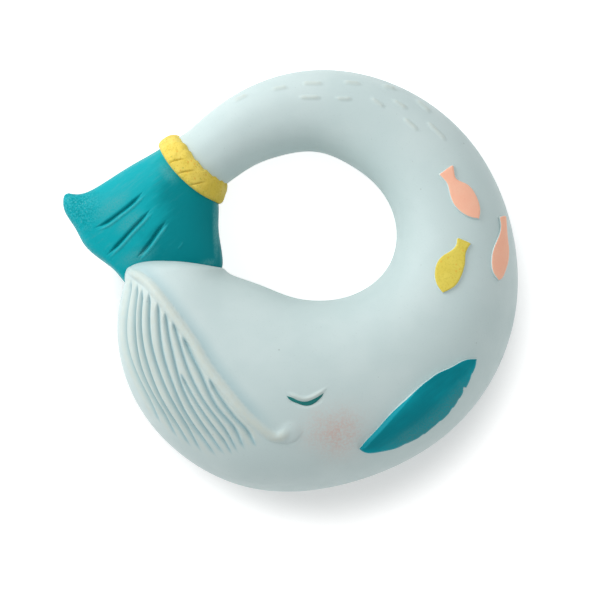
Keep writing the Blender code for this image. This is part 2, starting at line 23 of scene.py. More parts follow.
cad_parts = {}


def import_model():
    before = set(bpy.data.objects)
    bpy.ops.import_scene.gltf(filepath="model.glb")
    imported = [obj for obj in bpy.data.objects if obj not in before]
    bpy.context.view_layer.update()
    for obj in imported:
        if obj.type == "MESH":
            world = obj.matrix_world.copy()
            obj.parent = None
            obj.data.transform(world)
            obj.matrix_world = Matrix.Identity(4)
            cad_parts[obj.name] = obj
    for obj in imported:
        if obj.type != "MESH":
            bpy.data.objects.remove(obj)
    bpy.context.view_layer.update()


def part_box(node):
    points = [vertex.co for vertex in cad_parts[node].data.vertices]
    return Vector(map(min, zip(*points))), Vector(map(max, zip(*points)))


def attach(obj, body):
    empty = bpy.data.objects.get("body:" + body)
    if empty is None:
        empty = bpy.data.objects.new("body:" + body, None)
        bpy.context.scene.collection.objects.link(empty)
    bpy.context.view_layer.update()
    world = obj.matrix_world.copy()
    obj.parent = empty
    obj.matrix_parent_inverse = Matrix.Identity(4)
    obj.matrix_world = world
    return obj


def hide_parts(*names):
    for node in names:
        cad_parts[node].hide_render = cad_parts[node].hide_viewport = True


LOG = logging.getLogger("whale_teether")

MM = 0.001
CARRIER = "root"

Pair = tuple[float, float]
Colour = tuple[float, float, float]
Points = Sequence[Pair]
Socket = bpy.types.NodeSocket
Feed = Socket | float | Sequence[float]

SKIN_TONE: Colour = (0.600, 0.715, 0.712)
# The level of the brushed mark at which the paint is laid on neither thin nor thick.
EVEN_BRUSH = 0.5


class Flank(Enum):
    """The side of the ring that a raised piece is on: the seen one, or the one on the table."""

    NEAR = 1
    FAR = -1


class Form(Enum):
    """How a line of relief stands against the skin."""

    RIDGE = 1
    VALLEY = -1


# Curves and the plan drawing


class Curve:
    """Natural cubic spline through rows of values."""

    def __init__(self, knots: np.ndarray, values: np.ndarray) -> None:
        """Solves the spline.

        Args:
            knots: Rising places, one for each row of values.
            values: Rows of numbers that the curve passes through.
        """
        self.knots = np.asarray(knots, float)
        self.values = np.asarray(values, float)
        self.gaps = np.diff(self.knots)
        slopes = np.diff(self.values, axis=0) / self.gaps[:, None]
        system = np.eye(len(self.knots))
        right = np.zeros_like(self.values)
        for i in range(1, len(self.knots) - 1):
            before, after = self.gaps[i - 1], self.gaps[i]
            system[i, i - 1 : i + 2] = before, 2 * (before + after), after
            right[i] = 6 * (slopes[i] - slopes[i - 1])
        self.bends = np.linalg.solve(system, right)

    def __call__(self, places: np.ndarray) -> np.ndarray:
        """Reads the curve.

        Args:
            places: Places between the first and the last knot.

        Returns:
            One row of values for each place.
        """
        places = np.asarray(places, float)
        i = np.clip(np.searchsorted(self.knots, places) - 1, 0, len(self.gaps) - 1)
        before = (places - self.knots[i])[..., None]
        after = (self.knots[i + 1] - places)[..., None]
        gap = self.gaps[i][..., None]
        bend = (self.bends[i] * after**3 + self.bends[i + 1] * before**3) / (6 * gap)
        start = (self.values[i] / gap - self.bends[i] * gap / 6) * after
        end = (self.values[i + 1] / gap - self.bends[i + 1] * gap / 6) * before
        return bend + start + end


@dataclass(frozen=True)
class Drawing:
    """The drawing of the ring from straight above.

    Args:
        unit: Length of its unit at the height of focus.
        hole: The middle of the ring's hole in its units.
        middle: The middle of the drawing, under the eye.
        focus: Height above the table at which the unit holds.
        distance: Height of the eye above that.
    """

    unit: float = 0.22 * MM
    hole: Pair = (307.0, 228.0)
    middle: Pair = (300.0, 300.0)
    focus: float = 16.0 * MM
    distance: float = 0.85

    def plan(self, points: Points) -> np.ndarray:
        """Plan places, at the height of focus, of places that are rightwards and downwards in its units."""
        return (np.asarray(points, float) - self.hole) * (self.unit, -self.unit)

    def units(self, places: np.ndarray) -> np.ndarray:
        """Places in its units of plan places at the height of focus."""
        return places / (self.unit, -self.unit) + self.hole


DRAWING = Drawing()


class Sight:
    """Finds where on a form the places of the drawing are."""

    def __init__(self, points: np.ndarray, faces: list[tuple[int, ...]]) -> None:
        """Builds the search tree.

        Args:
            points: Points of the form in plan places and height.
            faces: Its faces.
        """
        self.tree = BVHTree.FromPolygons(points.tolist(), faces)
        x, y = DRAWING.plan([DRAWING.middle])[0]
        self.eye = Vector((x, y, DRAWING.focus + DRAWING.distance))

    def places(self, points: Points) -> np.ndarray:
        """Looks along the drawing's lines of sight.

        Args:
            points: Places in drawing units.

        Returns:
            Plan places of what is seen there on the form.
        """
        found = []
        for x, y in DRAWING.plan(points):
            spot, _, _, _ = self.tree.ray_cast(self.eye, Vector((x, y, DRAWING.focus)) - self.eye)
            found.append((x, y) if spot is None else spot[:2])
        return np.array(found)

    def line(self, points: Points, count: int) -> np.ndarray:
        """Draws a smooth line on the form.

        Args:
            points: Places in drawing units that the line passes through.
            count: Number of points along the line.

        Returns:
            Plan places, evenly spaced by chord length.
        """
        places = self.places(points)
        run = run_along(places)
        return Curve(run / run[-1], places)(np.linspace(0.0, 1.0, count))


def eased(values: np.ndarray, low: float, high: float) -> np.ndarray:
    """Smooth step from 0 at low to 1 at high."""
    share = np.clip((values - low) / (high - low), 0.0, 1.0)
    return share * share * (3 - 2 * share)


def run_along(path: np.ndarray) -> np.ndarray:
    """Distance of each point of a line from its first, measured along it."""
    steps = np.linalg.norm(np.diff(path, axis=0), axis=1)
    return np.concatenate([[0.0], np.cumsum(steps)])


def nearest(places: np.ndarray, path: np.ndarray) -> tuple[np.ndarray, np.ndarray]:
    """Measures places against a line of straight steps.

    Args:
        places: Plan places.
        path: Points of the line.

    Returns:
        The distance of each place to the line, and how far along it is, from 0 to 1.
    """
    start = path[:-1]
    step = np.diff(path, axis=0)
    offset = places[:, None] - start[None]
    along = np.clip((offset * step).sum(-1) / (step * step).sum(-1), 0.0, 1.0)
    gap = np.linalg.norm(offset - along[..., None] * step, axis=-1)
    best = np.argmin(gap, axis=1)
    rows = np.arange(len(places))
    return gap[rows, best], (best + along[rows, best]) / len(step)


# The whale's sweep


@dataclass
class Sweep:
    """The whale as oval sections along its spine, as in the solids.

    Each section holds the bearing and radius of its edge on the hole side, the same of its outer edge,
    in degrees and millimetres about the middle of the hole, and the height of its underside.
    """

    sections: tuple[tuple[float, ...], ...] = (
        (199.7, 39.0, 171.6, 53.1, 9.6),
        (208.5, 26.2, 170.05, 48.45, 7.9),
        (204.4, 20.5, 164.7, 44.0, 6.2),
        (181.5, 19.5, 158.5, 40.2, 5.2),
        (166.0, 20.1, 152.5, 37.3, 4.4),
        (158.0, 21.0, 147.0, 35.5, 3.9),
        (149.0, 20.0, 142.0, 34.2, 3.3),
        (133.0, 18.4, 131.0, 33.55, 2.2),
        (112.0, 17.2, 111.0, 33.9, 0.9),
        (85.0, 17.1, 85.0, 35.3, 0.0),
        (55.0, 17.0, 55.0, 37.7, 0.0),
        (28.0, 18.3, 28.0, 41.0, 0.0),
        (0.0, 19.7, 0.0, 45.2, 0.0),
        (-25.0, 19.8, -25.0, 50.1, 0.0),
        (-50.0, 18.2, -50.0, 54.1, 0.0),
        (-78.0, 16.3, -78.0, 56.5, 0.0),
        (-104.0, 15.5, -104.0, 58.4, 0.0),
        (-124.0, 15.8, -125.0, 55.85, 0.0),
        (-139.0, 17.5, -141.0, 51.5, 0.0),
        (-151.6, 20.1, -158.0, 44.5, 0.6),
        (-154.2, 20.3, -163.6, 41.8, 1.4),
    )
    mouth_row: int = 5
    head_row: int = 14
    mid_height: float = 12.8 * MM
    mid_slope: float = 0.127
    sole_depth: float = 0.4 * MM
    fullness: float = 2.15
    taper_step: float = 1.0 * MM
    rails: Curve = field(init=False)
    knots: np.ndarray = field(init=False)

    def __post_init__(self) -> None:
        """Lays the rails of the two edges along the spine."""
        rows = np.array(self.sections)
        inner = self.polar(rows[:, 0], rows[:, 1])
        outer = self.polar(rows[:, 2], rows[:, 3])
        self.knots = run_along((inner + outer) / 2)
        self.rails = Curve(self.knots, np.hstack([inner, outer, rows[:, 4:] * MM]))

    @staticmethod
    def polar(bearing: np.ndarray, radius: np.ndarray) -> np.ndarray:
        """Plan places of bearings in degrees and radii in millimetres about the middle of the hole."""
        angle = np.radians(bearing)
        return np.stack([np.cos(angle), np.sin(angle)], axis=1) * radius[:, None] * MM

    def middle(self, y: np.ndarray) -> np.ndarray:
        """Height of the plane in which the two flanks mirror each other, at plan place y."""
        return self.mid_height - self.mid_slope * y

    def depth(self, places: np.ndarray) -> np.ndarray:
        """Half the thickness of the sections at these distances along the spine."""
        rail = self.rails(places)
        return self.middle((rail[:, 1] + rail[:, 3]) / 2) + self.sole_depth - rail[:, 4]

    def taper(self, place: float) -> float:
        """Share of the thickness that is lost over each metre at this distance along the spine."""
        before, here = self.depth(np.array((place - self.taper_step, place)))
        return float((before - here) / (self.taper_step * here))

    def grid(
        self,
        places: np.ndarray,
        angles: np.ndarray,
        grow: np.ndarray | float = 0.0,
        scale: np.ndarray | float = 1.0,
        shift: np.ndarray | float = 0.0,
        flat: np.ndarray | float = 1.0,
        bow: np.ndarray | float = 0.0,
    ) -> np.ndarray:
        """Points round the sections.

        Args:
            places: Distances along the spine, one for each row.
            angles: Angles round a section from its outer edge, one for each column.
            grow: How far the section is offset outwards, for each row or each point.
            scale: Size of the section.
            shift: How far the row is moved along the spine.
            flat: Scale of its depth alone.
            bow: How far its flanks are moved along the spine against its edges.

        Returns:
            Points in plan places and height, rows by columns by three.
        """
        rows = len(places)
        grow, scale, shift, flat, bow = (
            np.broadcast_to(np.asarray(v, float).reshape(rows, -1) if np.ndim(v) else v, (rows, len(angles)))
            for v in (grow, scale, shift, flat, bow)
        )
        rail = self.rails(places)
        centre = (rail[:, 0:2] + rail[:, 2:4]) / 2
        half = (rail[:, 2:4] - rail[:, 0:2]) / 2
        width = np.linalg.norm(half, axis=1)[:, None]
        across = half / width
        along = np.stack([across[:, 1], -across[:, 0]], axis=1)
        level = self.middle(centre[:, 1:] + along[:, 1:] * shift)
        depth = self.depth(places)[:, None]
        cosine, sine = np.cos(angles), np.sin(angles)
        power = 2 / self.fullness
        wide = np.sign(cosine) * np.abs(cosine) ** power * (width * scale + grow)
        tall = np.sign(sine) * np.abs(sine) ** power * (depth * scale + grow) * flat
        slide = shift + bow * (1 - cosine**2)
        plan = centre[:, None] + across[:, None] * wide[..., None] + along[:, None] * slide[..., None]
        return np.concatenate([plan, (level + tall)[..., None]], axis=2)


# Relief on the skin


@dataclass
class Line:
    """A line of relief on a flank.

    Args:
        path: Plan places along it.
        form: Whether it stands up or is cut in.
        reach: Half its width.
        height: How far it stands up or is cut in.
        ends: Share of its length over which it thins out at its start and at its end.
        round: Shape of its middle: 2 is round, 1 is sharp.
        power: Shape of its feet: the higher, the softer they run out.
        least: Share of its width that is left at its thin ends.
    """

    path: np.ndarray
    form: Form
    reach: float
    height: float
    ends: Pair = (0.1, 0.1)
    round: float = 2.0
    power: float = 2.0
    least: float = 0.35

    def near(self, places: np.ndarray, margin: float) -> np.ndarray:
        """Finds the places in the box of the line.

        Args:
            places: Plan places.
            margin: How far the box goes past the line.

        Returns:
            Row numbers of the places in it.
        """
        low = self.path.min(axis=0) - margin
        high = self.path.max(axis=0) + margin
        return np.nonzero(((places > low) & (places < high)).all(axis=1))[0]

    def profile(self, places: np.ndarray) -> tuple[np.ndarray, np.ndarray]:
        """Reads the line's cross-section.

        Args:
            places: Plan places.

        Returns:
            Row numbers of the places that it touches, and its share of full height there.
        """
        rows = self.near(places, self.reach)
        gap, along = nearest(places[rows], self.path)
        full = np.ones(len(rows))
        for fade, place in zip(self.ends, (along, 1 - along)):
            if fade:
                full = full * eased(place, 0.0, fade)
        away = np.clip(gap / (self.reach * (self.least + (1 - self.least) * full)), 0.0, 1.0)
        return rows, full * (1 - away**self.round) ** self.power


@dataclass
class Bump:
    """A round swelling on a flank: the plan place of its middle, its radius, height and falling off."""

    spot: np.ndarray
    reach: float
    height: float
    power: float = 1.3

    def lift(self, places: np.ndarray) -> np.ndarray:
        """How far the bump lifts each of these plan places."""
        away = np.linalg.norm(places - self.spot, axis=1) / self.reach
        return self.height * np.clip(1 - away**2, 0.0, 1.0) ** self.power


@dataclass
class Face:
    """The lines of the whale's face and back: throat pleats, lip, cheek, eyelid and dashes.

    The reaches and depths of the pleats are in millimetres. The lip falls off gently towards the upper
    jaw, in the slope, and the painted shade at its foot goes on a little farther. The pleat valleys carry
    painted shade as well.
    """

    sight: Sight
    pleat_reaches: tuple[float, ...] = (0.75, 0.78, 0.80, 0.90, 1.0, 1.0, 0.85, 0.95, 1.15, 1.05)
    pleat_depths: tuple[float, ...] = (1.2, 1.15, 1.05, 0.95, 0.88, 0.88, 0.75, 0.82, 0.90, 0.82)
    pleat_run: float = 3.0 * MM
    pleat_end: float = 0.20
    pleat_points: int = 48
    # Ends of the painted shade down the pleat valleys.
    shade_ends: Pair = (0.05, 0.08)
    throat_ends: Pair = (0.03, 0.15)
    throat_cream: float = 0.75
    lip_reach: float = 1.25 * MM
    lip_height: float = 0.84 * MM
    lip_ends: Pair = (0.10, 0.05)
    lip_points: int = 96
    slope_share: float = 0.42
    slope_reach: Pair = (0.2 * MM, 2.6 * MM)
    slope_start: Pair = (0.02, 0.12)
    slope_end: Pair = (0.74, 0.94)
    foot_shade: float = 0.55
    foot_reach: Pair = (0.8 * MM, 4.4 * MM)
    lid_reach: float = 0.58 * MM
    lid_height: float = 0.44 * MM
    lid_ends: Pair = (0.25, 0.3)
    bed_reach: float = 0.75 * MM
    bed_depth: float = 0.28 * MM
    bed_ends: Pair = (0.2, 0.2)
    crease_reach: float = 0.6 * MM
    crease_depth: float = 0.32 * MM
    crease_ends: Pair = (0.45, 0.45)
    detail_points: int = 40
    dash_reach: float = 0.62 * MM
    dash_height: float = 0.3 * MM
    dash_ends: Pair = (0.18, 0.18)
    dash_points: int = 12
    crest_cream: float = 0.6
    cheek_spot: Pair = (290.6, 433.4)
    cheek_reach: float = 2.8 * MM
    cheek_height: float = 0.42 * MM
    blush_spot: Pair = (336.0, 432.0)
    blush_reach: Pair = (6.4 * MM, 5.2 * MM)
    blush_fall: float = 1.25
    valleys: tuple[Points, ...] = (
        (
            (131.6, 277.6), (126, 309), (125, 338), (133, 369), (144.8, 394), (159, 420), (162.4, 426),
        ),
        (
            (137.8, 281.4), (133.8, 309), (134, 338), (139.6, 368), (150.6, 393.6), (166.4, 420),
            (175, 433.6), (179.6, 440.6),
        ),
        (
            (142.4, 286), (139.6, 312), (140.8, 341), (147.2, 368), (157, 393.6), (173.6, 422),
            (188.5, 443), (193.4, 449.8),
        ),
        (
            (149.2, 289.6), (148, 315.6), (149.6, 341), (157, 369), (166.8, 393.6), (180.4, 418),
            (199.2, 448), (203.8, 455),
        ),
        (
            (157.7, 299.2), (158.4, 325), (162.2, 355), (171, 383), (181, 407), (195.8, 431),
            (213.7, 453), (218.4, 459),
        ),
        (
            (165, 308.8), (168, 335), (172.2, 355), (178.6, 380.6), (188.2, 403.5), (203.4, 428),
            (222.3, 451.9), (226.8, 457),
        ),
        (
            (179.6, 371.4), (185.2, 383.6), (190.4, 393.6), (203.6, 415), (219.6, 436.4), (229.5, 450),
            (233, 456),
        ),
        (
            (172, 317.4), (179.3, 344.5), (186.4, 367), (195.2, 387.4), (208.2, 409), (224.2, 430),
            (235.4, 448), (239.4, 455),
        ),
        (
            (181.8, 332.8), (190.8, 354.5), (200, 373.7), (208.2, 393), (221.8, 415), (232.8, 427.5),
            (242.2, 444.5), (246.2, 451.6),
        ),
        (
            (208.4, 376.6), (214.8, 390), (221.6, 400.7), (229.2, 411.4), (238, 422), (245.6, 430),
            (253.2, 441.8), (257.4, 448.2),
        ),
    )
    lip: Points = (
        (122.5, 266.0), (136.0, 274.4), (147.2, 282.2), (158.0, 294.4), (169.2, 309.0), (182, 326.4),
        (194.7, 344.3), (202.3, 357.9), (215.7, 377.5), (230, 395.4), (244.3, 412.3), (258.6, 425.7),
        (266.5, 432.2), (274.0, 436.6), (281.0, 436.4), (286.2, 432.2), (289.4, 426.4),
    )
    crease: Points = ((273, 442), (283.4, 444), (290.4, 443.4), (296.9, 440), (301.3, 435), (306, 430.5))
    bed: Points = ((286, 395.7), (296.4, 402.3), (306.7, 404.5), (317, 400.9), (324.3, 392.8))
    lid: Points = (
        (284.6, 392.2), (291.4, 394.6), (298.6, 397.6), (305.4, 398.8), (312.4, 396.9), (319.6, 393.0),
        (329.0, 385.6),
    )
    dashes: tuple[Points, ...] = (
        ((299, 97.3), (321, 97.3)), ((336, 98.3), (352, 98.8)), ((371.4, 98.2), (384, 107)),
        ((404, 118), (418, 131)), ((234, 101), (248, 94.6)), ((271.4, 89.3), (287.5, 87)),
        ((301.8, 83.4), (323, 83.4)), ((343, 82), (360.7, 84)), ((393, 100), (407, 109)),
        ((426.8, 121.4), (446.4, 141)), ((382, 85.7), (396.4, 89.3)), ((416, 100), (430.4, 112.5)),
    )

    def pleats(self) -> list[Line]:
        """The grooves of the throat."""
        lines = []
        shape = {"round": 1.0, "power": 2.1, "least": 0.22}
        for points, reach, depth in zip(self.valleys, self.pleat_reaches, self.pleat_depths):
            path = self.sight.line(points, self.pleat_points)
            ends = (self.pleat_run / run_along(path)[-1], self.pleat_end)
            lines.append(Line(path, Form.VALLEY, reach * MM, depth * MM, ends, **shape))
        return lines

    def lips(self) -> Line:
        """The raised lip, whose end curls up at the cheek."""
        path = self.sight.line(self.lip, self.lip_points)
        return Line(path, Form.RIDGE, self.lip_reach, self.lip_height, self.lip_ends, power=1.0, least=0.6)

    def slope(self, places: np.ndarray, lip: Line, reach: Pair) -> tuple[np.ndarray, np.ndarray]:
        """The gentle fall from the lip to the upper jaw.

        Args:
            places: Plan places.
            lip: The lip.
            reach: Distances from the lip between which it falls.

        Returns:
            Row numbers of the places that it touches, and how far up it they are, from 0 to 1.
        """
        rows = lip.near(places, reach[1])
        gap, along = nearest(places[rows], lip.path)
        steps = np.diff(lip.path, axis=0)
        here = np.minimum((along * len(steps)).astype(int), len(steps) - 1)
        offset = places[rows] - lip.path[here]
        aside = steps[here, 0] * offset[:, 1] - steps[here, 1] * offset[:, 0]
        fall = 1 - eased(np.where(aside > 0, gap, reach[1]), *reach)
        return rows, fall * eased(along, *self.slope_start) * (1 - eased(along, *self.slope_end))

    def details(self) -> list[Line]:
        """The eyelid, the bed of the lash, the crease of the cheek and the dashes."""
        paths = (self.lid, self.bed, self.crease)
        lid, bed, crease = (self.sight.line(points, self.detail_points) for points in paths)
        sizes = (self.crease_reach, self.crease_depth, self.crease_ends)
        lines = [
            Line(lid, Form.RIDGE, self.lid_reach, self.lid_height, self.lid_ends, power=1.4),
            Line(bed, Form.VALLEY, self.bed_reach, self.bed_depth, self.bed_ends, power=1.2),
            Line(crease, Form.VALLEY, *sizes, round=1.2, power=1.6),
        ]
        for dash in self.dashes:
            path = self.sight.line(dash, self.dash_points)
            lines.append(Line(path, Form.RIDGE, self.dash_reach, self.dash_height, self.dash_ends, power=1.4))
        return lines

    def cheek(self) -> Bump:
        """The swelling at the end of the lip."""
        return Bump(self.sight.places([self.cheek_spot])[0], self.cheek_reach, self.cheek_height)

    def blush(self, places: np.ndarray) -> np.ndarray:
        """Strength of the blush on the cheek at these plan places."""
        away = (places - self.sight.places([self.blush_spot])) / self.blush_reach
        return np.exp(-self.blush_fall * (away**2).sum(axis=1))


@dataclass
class Carving:
    """What the relief does to a set of plan places."""

    lift: np.ndarray
    cream: np.ndarray
    hollow: np.ndarray

    @classmethod
    def of(cls, places: np.ndarray, face: Face) -> "Carving":
        """Adds up the relief.

        Args:
            places: Plan places.
            face: The lines to carve.

        Returns:
            The lift of each place, how much of it is pale crest, and how much painted shade lies on it.
        """
        count = len(places)
        hollow, throat, valley, lip, foot = (np.zeros(count) for _ in range(5))
        start, end = face.throat_ends
        for line in face.pleats():
            rows, share = line.profile(places)
            valley[rows] = np.maximum(valley[rows], share * line.height)
            # Painted shade down each pleat valley.
            rows, share = replace(line, ends=face.shade_ends).profile(places)
            hollow[rows] = np.maximum(hollow[rows], share)
            rows = line.near(places, 2 * line.reach)
            gap, along = nearest(places[rows], line.path)
            edge = eased(along, 0.0, start) * eased(1 - along, 0.0, end)
            throat[rows] = np.maximum(throat[rows], edge * (1 - eased(gap, line.reach, 2 * line.reach)))
        line = face.lips()
        rows, share = line.profile(places)
        lip[rows] = share
        band = lip.copy()
        rows, share = face.slope(places, line, face.slope_reach)
        band[rows] = np.maximum(band[rows], face.slope_share * share)
        # Painted shade on the upper jaw at the foot of the lip.
        rows, share = face.slope(places, line, face.foot_reach)
        foot[rows] = face.foot_shade * share * (1 - eased(lip[rows], 0.0, 0.5))
        lift = face.lip_height * band - valley * (1 - band)
        cream = np.maximum(lip, face.throat_cream * throat * (1 - hollow) ** 2)
        for line in face.details():
            rows, share = line.profile(places)
            lift[rows] += line.form.value * line.height * share
            if line.form is Form.RIDGE:
                cream[rows] = np.maximum(cream[rows], face.crest_cream * share)
        lift += face.cheek().lift(places) * (1 - band)
        return cls(lift, cream, np.maximum(hollow * (1 - band), foot))


# Meshes


@dataclass
class Shape:
    """A mesh in the making: its points, its faces, and numbers on its points for the finish."""

    points: np.ndarray
    faces: list[tuple[int, ...]]
    marks: dict[str, np.ndarray] = field(default_factory=dict)

    def mesh(self, name: str, shift: np.ndarray) -> bpy.types.Mesh:
        """Writes the mesh.

        Args:
            name: Name of the mesh.
            shift: Place of the plan's zero in the model.

        Returns:
            A smooth mesh, its normals outwards.
        """
        mesh = bpy.data.meshes.new(name)
        mesh.from_pydata((self.points + shift).tolist(), [], self.faces)
        mesh.validate()
        for mark, values in self.marks.items():
            layer = mesh.attributes.new(mark, "FLOAT", "POINT")
            layer.data.foreach_set("value", np.asarray(values, np.float32))
        mesh.shade_smooth()
        return mesh


def quads(rows: int, columns: int, closed: bool) -> list[tuple[int, ...]]:
    """Faces of a grid of points.

    Args:
        rows: Number of rows.
        columns: Number of points in each row.
        closed: Whether the last column joins the first.

    Returns:
        Four point numbers for each face.
    """
    last = columns if closed else columns - 1
    row = np.arange(rows - 1)[:, None] * columns
    here = np.arange(last)[None]
    there = (here + 1) % columns
    stack = np.stack([row + here, row + there, row + columns + there, row + columns + here], axis=-1)
    return [tuple(face) for face in stack.reshape(-1, 4).tolist()]


def fan(rim: Sequence[int], middle: int, turned: bool) -> list[tuple[int, ...]]:
    """Triangles from a ring of points to a middle one, which run against the ring if turned."""
    pairs = zip(rim, [*rim[1:], rim[0]])
    return [(b, a, middle) if turned else (a, b, middle) for a, b in pairs]


@dataclass
class Model:
    """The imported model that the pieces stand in."""

    shift: np.ndarray

    @classmethod
    def measured(cls, sweep: Sweep, samples: int = 800) -> "Model":
        """Finds the plan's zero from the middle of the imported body's box.

        Args:
            sweep: The whale's form.
            samples: Number of points along its outer edge that are measured.

        Returns:
            The model with its shift.
        """
        places = np.linspace(sweep.knots[sweep.mouth_row], sweep.knots[-1], samples)
        edge = sweep.grid(places, np.zeros(1)).reshape(-1, 3)
        middle = (edge.min(axis=0) + edge.max(axis=0)) / 2
        low, high = (np.array(corner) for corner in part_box("body_shell"))
        shift = (low + high) / 2 - middle
        return cls(np.array((shift[0], shift[1], 0.0)))

    def add(self, name: str, shape: Shape, node: str, slot: str, material: bpy.types.Material) -> None:
        """Puts a piece into the scene in place of a solid.

        Args:
            name: Name of the piece.
            shape: Its form.
            node: The solid that it stands for.
            slot: The finish's slot in the record; not used.
            material: Its finish.
        """
        mesh = shape.mesh(name, self.shift)
        mesh.materials.append(material)
        piece = bpy.data.objects.new(name, mesh)
        bpy.context.scene.collection.objects.link(piece)
        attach(piece, CARRIER)
        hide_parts(node)
        LOG.info("%s: %d points for %s", name, len(mesh.vertices), node)


# Finishes


@dataclass(frozen=True)
class Cloud:
    """Smooth noise about one half, and how it is stretched.

    Args:
        scale: Waves for each metre.
        detail: Number of finer layers.
        rough: Strength of the finer layers.
        low: Level of the noise that gives the first value.
        high: Level that gives the last value.
        start: The first value.
        end: The last value.
    """

    scale: float
    detail: float = 4.0
    rough: float = 0.55
    low: float = 0.3
    high: float = 0.7
    start: float = 0.0
    end: float = 1.0


@dataclass(frozen=True)
class Dots:
    """Scattered dots.

    Args:
        scale: Cells for each metre.
        size: Radius of a dot as a share of a cell.
        share: Share of the cells that hold a dot.
        strength: Value on a dot.
    """

    scale: float
    size: float
    share: float
    strength: float


class Wiring:
    """Adds nodes to a material or to the world, and joins them.

    Cells of dots come in over a small range of chance. The edge of bare skin is ragged by a share of the
    noise, and the skin comes in between two levels of the mark.
    """

    dot_range: float = 0.02
    skin_ragged: float = 0.7
    skin_levels: Pair = (0.42, 0.58)

    def __init__(self, owner: bpy.types.Material | bpy.types.World) -> None:
        """Starts on a material or the world."""
        owner.use_nodes = True
        self.owner = owner
        self.tree = owner.node_tree

    def put(self, socket: Socket, value: Feed) -> None:
        """Joins a socket to another, or sets its value.

        Args:
            socket: The input to feed.
            value: A node's output, a number or a colour.
        """
        if isinstance(value, bpy.types.NodeSocket):
            self.tree.links.new(value, socket)
        elif isinstance(value, (int, float)):
            socket.default_value = value
        else:
            socket.default_value = (*value, 1.0) if len(value) == 3 and socket.type == "RGBA" else value

    def node(self, kind: str, feeds: dict[str | int, Feed] | None = None, **choices: str) -> bpy.types.Node:
        """Adds a node.

        Args:
            kind: Its type, without the words that the types of all shader nodes start with.
            feeds: What goes into its inputs.
            choices: Its other settings.

        Returns:
            The new node.
        """
        node = self.tree.nodes.new(f"ShaderNode{kind}")
        for name, choice in choices.items():
            setattr(node, name, choice)
        for name, value in (feeds or {}).items():
            self.put(node.inputs[name], value)
        return node

    @cached_property
    def place(self) -> Socket:
        """The place on the object."""
        return self.node("TexCoord").outputs["Object"]

    def stretched(self, turn: float, sizes: tuple[float, float, float]) -> Socket:
        """The place on the object, turned in plan by an angle in degrees and scaled along each axis."""
        feeds = {"Vector": self.place, "Rotation": (0.0, 0.0, math.radians(turn)), "Scale": sizes}
        return self.node("Mapping", feeds, vector_type="TEXTURE").outputs["Vector"]

    def noise(self, cloud: Cloud, place: Socket | None = None) -> Socket:
        """A cloud's noise before it is stretched.

        Args:
            cloud: The cloud.
            place: Coordinates, the place on the object if not given.

        Returns:
            Values about one half.
        """
        feeds = {"Vector": place or self.place, "Scale": cloud.scale, "Detail": cloud.detail}
        return self.node("TexNoise", feeds | {"Roughness": cloud.rough}).outputs["Fac"]

    def cloud(self, cloud: Cloud, place: Socket | None = None) -> Socket:
        """A cloud's stretched noise, at coordinates or at the place on the object."""
        return self.ranged(self.noise(cloud, place), cloud.low, cloud.high, cloud.start, cloud.end)

    def dots(self, dots: Dots) -> Socket:
        """Scattered dots.

        Args:
            dots: Their sizes.

        Returns:
            Their strength on a dot, else 0.
        """
        cells = self.node("TexVoronoi", {"Vector": self.place, "Scale": dots.scale}).outputs
        chance = self.node("SeparateColor", {"Color": cells["Color"]}).outputs["Red"]
        chosen = self.ranged(chance, 1 - dots.share, 1 - dots.share + self.dot_range)
        return self.times(chosen, self.ranged(cells["Distance"], dots.size, dots.size / 2), dots.strength)

    def mark(self, name: str) -> Socket:
        """The number that the mesh carries under this name."""
        return self.node("Attribute", attribute_name=name).outputs["Fac"]

    def ranged(self, value: Socket, low: float, high: float, start: float = 0, end: float = 1) -> Socket:
        """Maps the range from low to high to the one from start to end, with a smooth step."""
        feeds = {"Value": value, "From Min": low, "From Max": high, "To Min": start, "To Max": end}
        return self.node("MapRange", feeds, interpolation_type="SMOOTHSTEP").outputs["Result"]

    def maths(self, kind: str, first: Socket | float, second: Socket | float) -> Socket:
        """One sum, named by its kind, on two numbers."""
        return self.node("Math", {0: first, 1: second}, operation=kind).outputs[0]

    def times(self, first: Socket, *others: Socket | float) -> Socket:
        """The product of some numbers."""
        for other in others:
            first = self.maths("MULTIPLY", first, other)
        return first

    def blend(self, share: Socket, first: Socket | Colour, second: Socket | Colour) -> Socket:
        """Mixes two colours, with this share of the second."""
        return self.node("Mix", {0: share, 6: first, 7: second}, data_type="RGBA").outputs[2]

    def skin_shown(self, tone: Socket, edge: Cloud) -> Socket:
        """Lets the skin show, with a ragged edge, where the mesh is marked bare.

        Args:
            tone: The paint's colour.
            edge: The noise of the edge.

        Returns:
            The colour with the skin in it.
        """
        ragged = self.times(self.maths("SUBTRACT", self.noise(edge), 0.5), self.skin_ragged)
        bare = self.ranged(self.maths("ADD", self.mark("bare"), ragged), *self.skin_levels)
        return self.blend(bare, tone, SKIN_TONE)

    def bumped(self, *layers: tuple[Socket, float, float]) -> Socket:
        """Bends the surface's normals by one height field after another.

        Args:
            layers: Each one's heights, depth in metres and strength.

        Returns:
            The bent normals.
        """
        chain: dict[str | int, Feed] = {}
        for height, distance, strength in layers:
            feeds = chain | {"Height": height, "Distance": distance, "Strength": strength}
            chain = {"Normal": self.node("Bump", feeds).outputs["Normal"]}
        return chain["Normal"]

    def finished(self, colour: Socket, rough: Socket, normal: Socket, gloss: float) -> bpy.types.Material:
        """Feeds the material's shader.

        Args:
            colour: Base colour.
            rough: Roughness.
            normal: Bent normals.
            gloss: Specular level, the same all over.

        Returns:
            The finished material.
        """
        inputs = self.tree.nodes["Principled BSDF"].inputs
        feeds = {"Base Color": colour, "Roughness": rough, "Normal": normal, "Specular IOR Level": gloss}
        for name, value in feeds.items():
            self.put(inputs[name], value)
        return self.owner


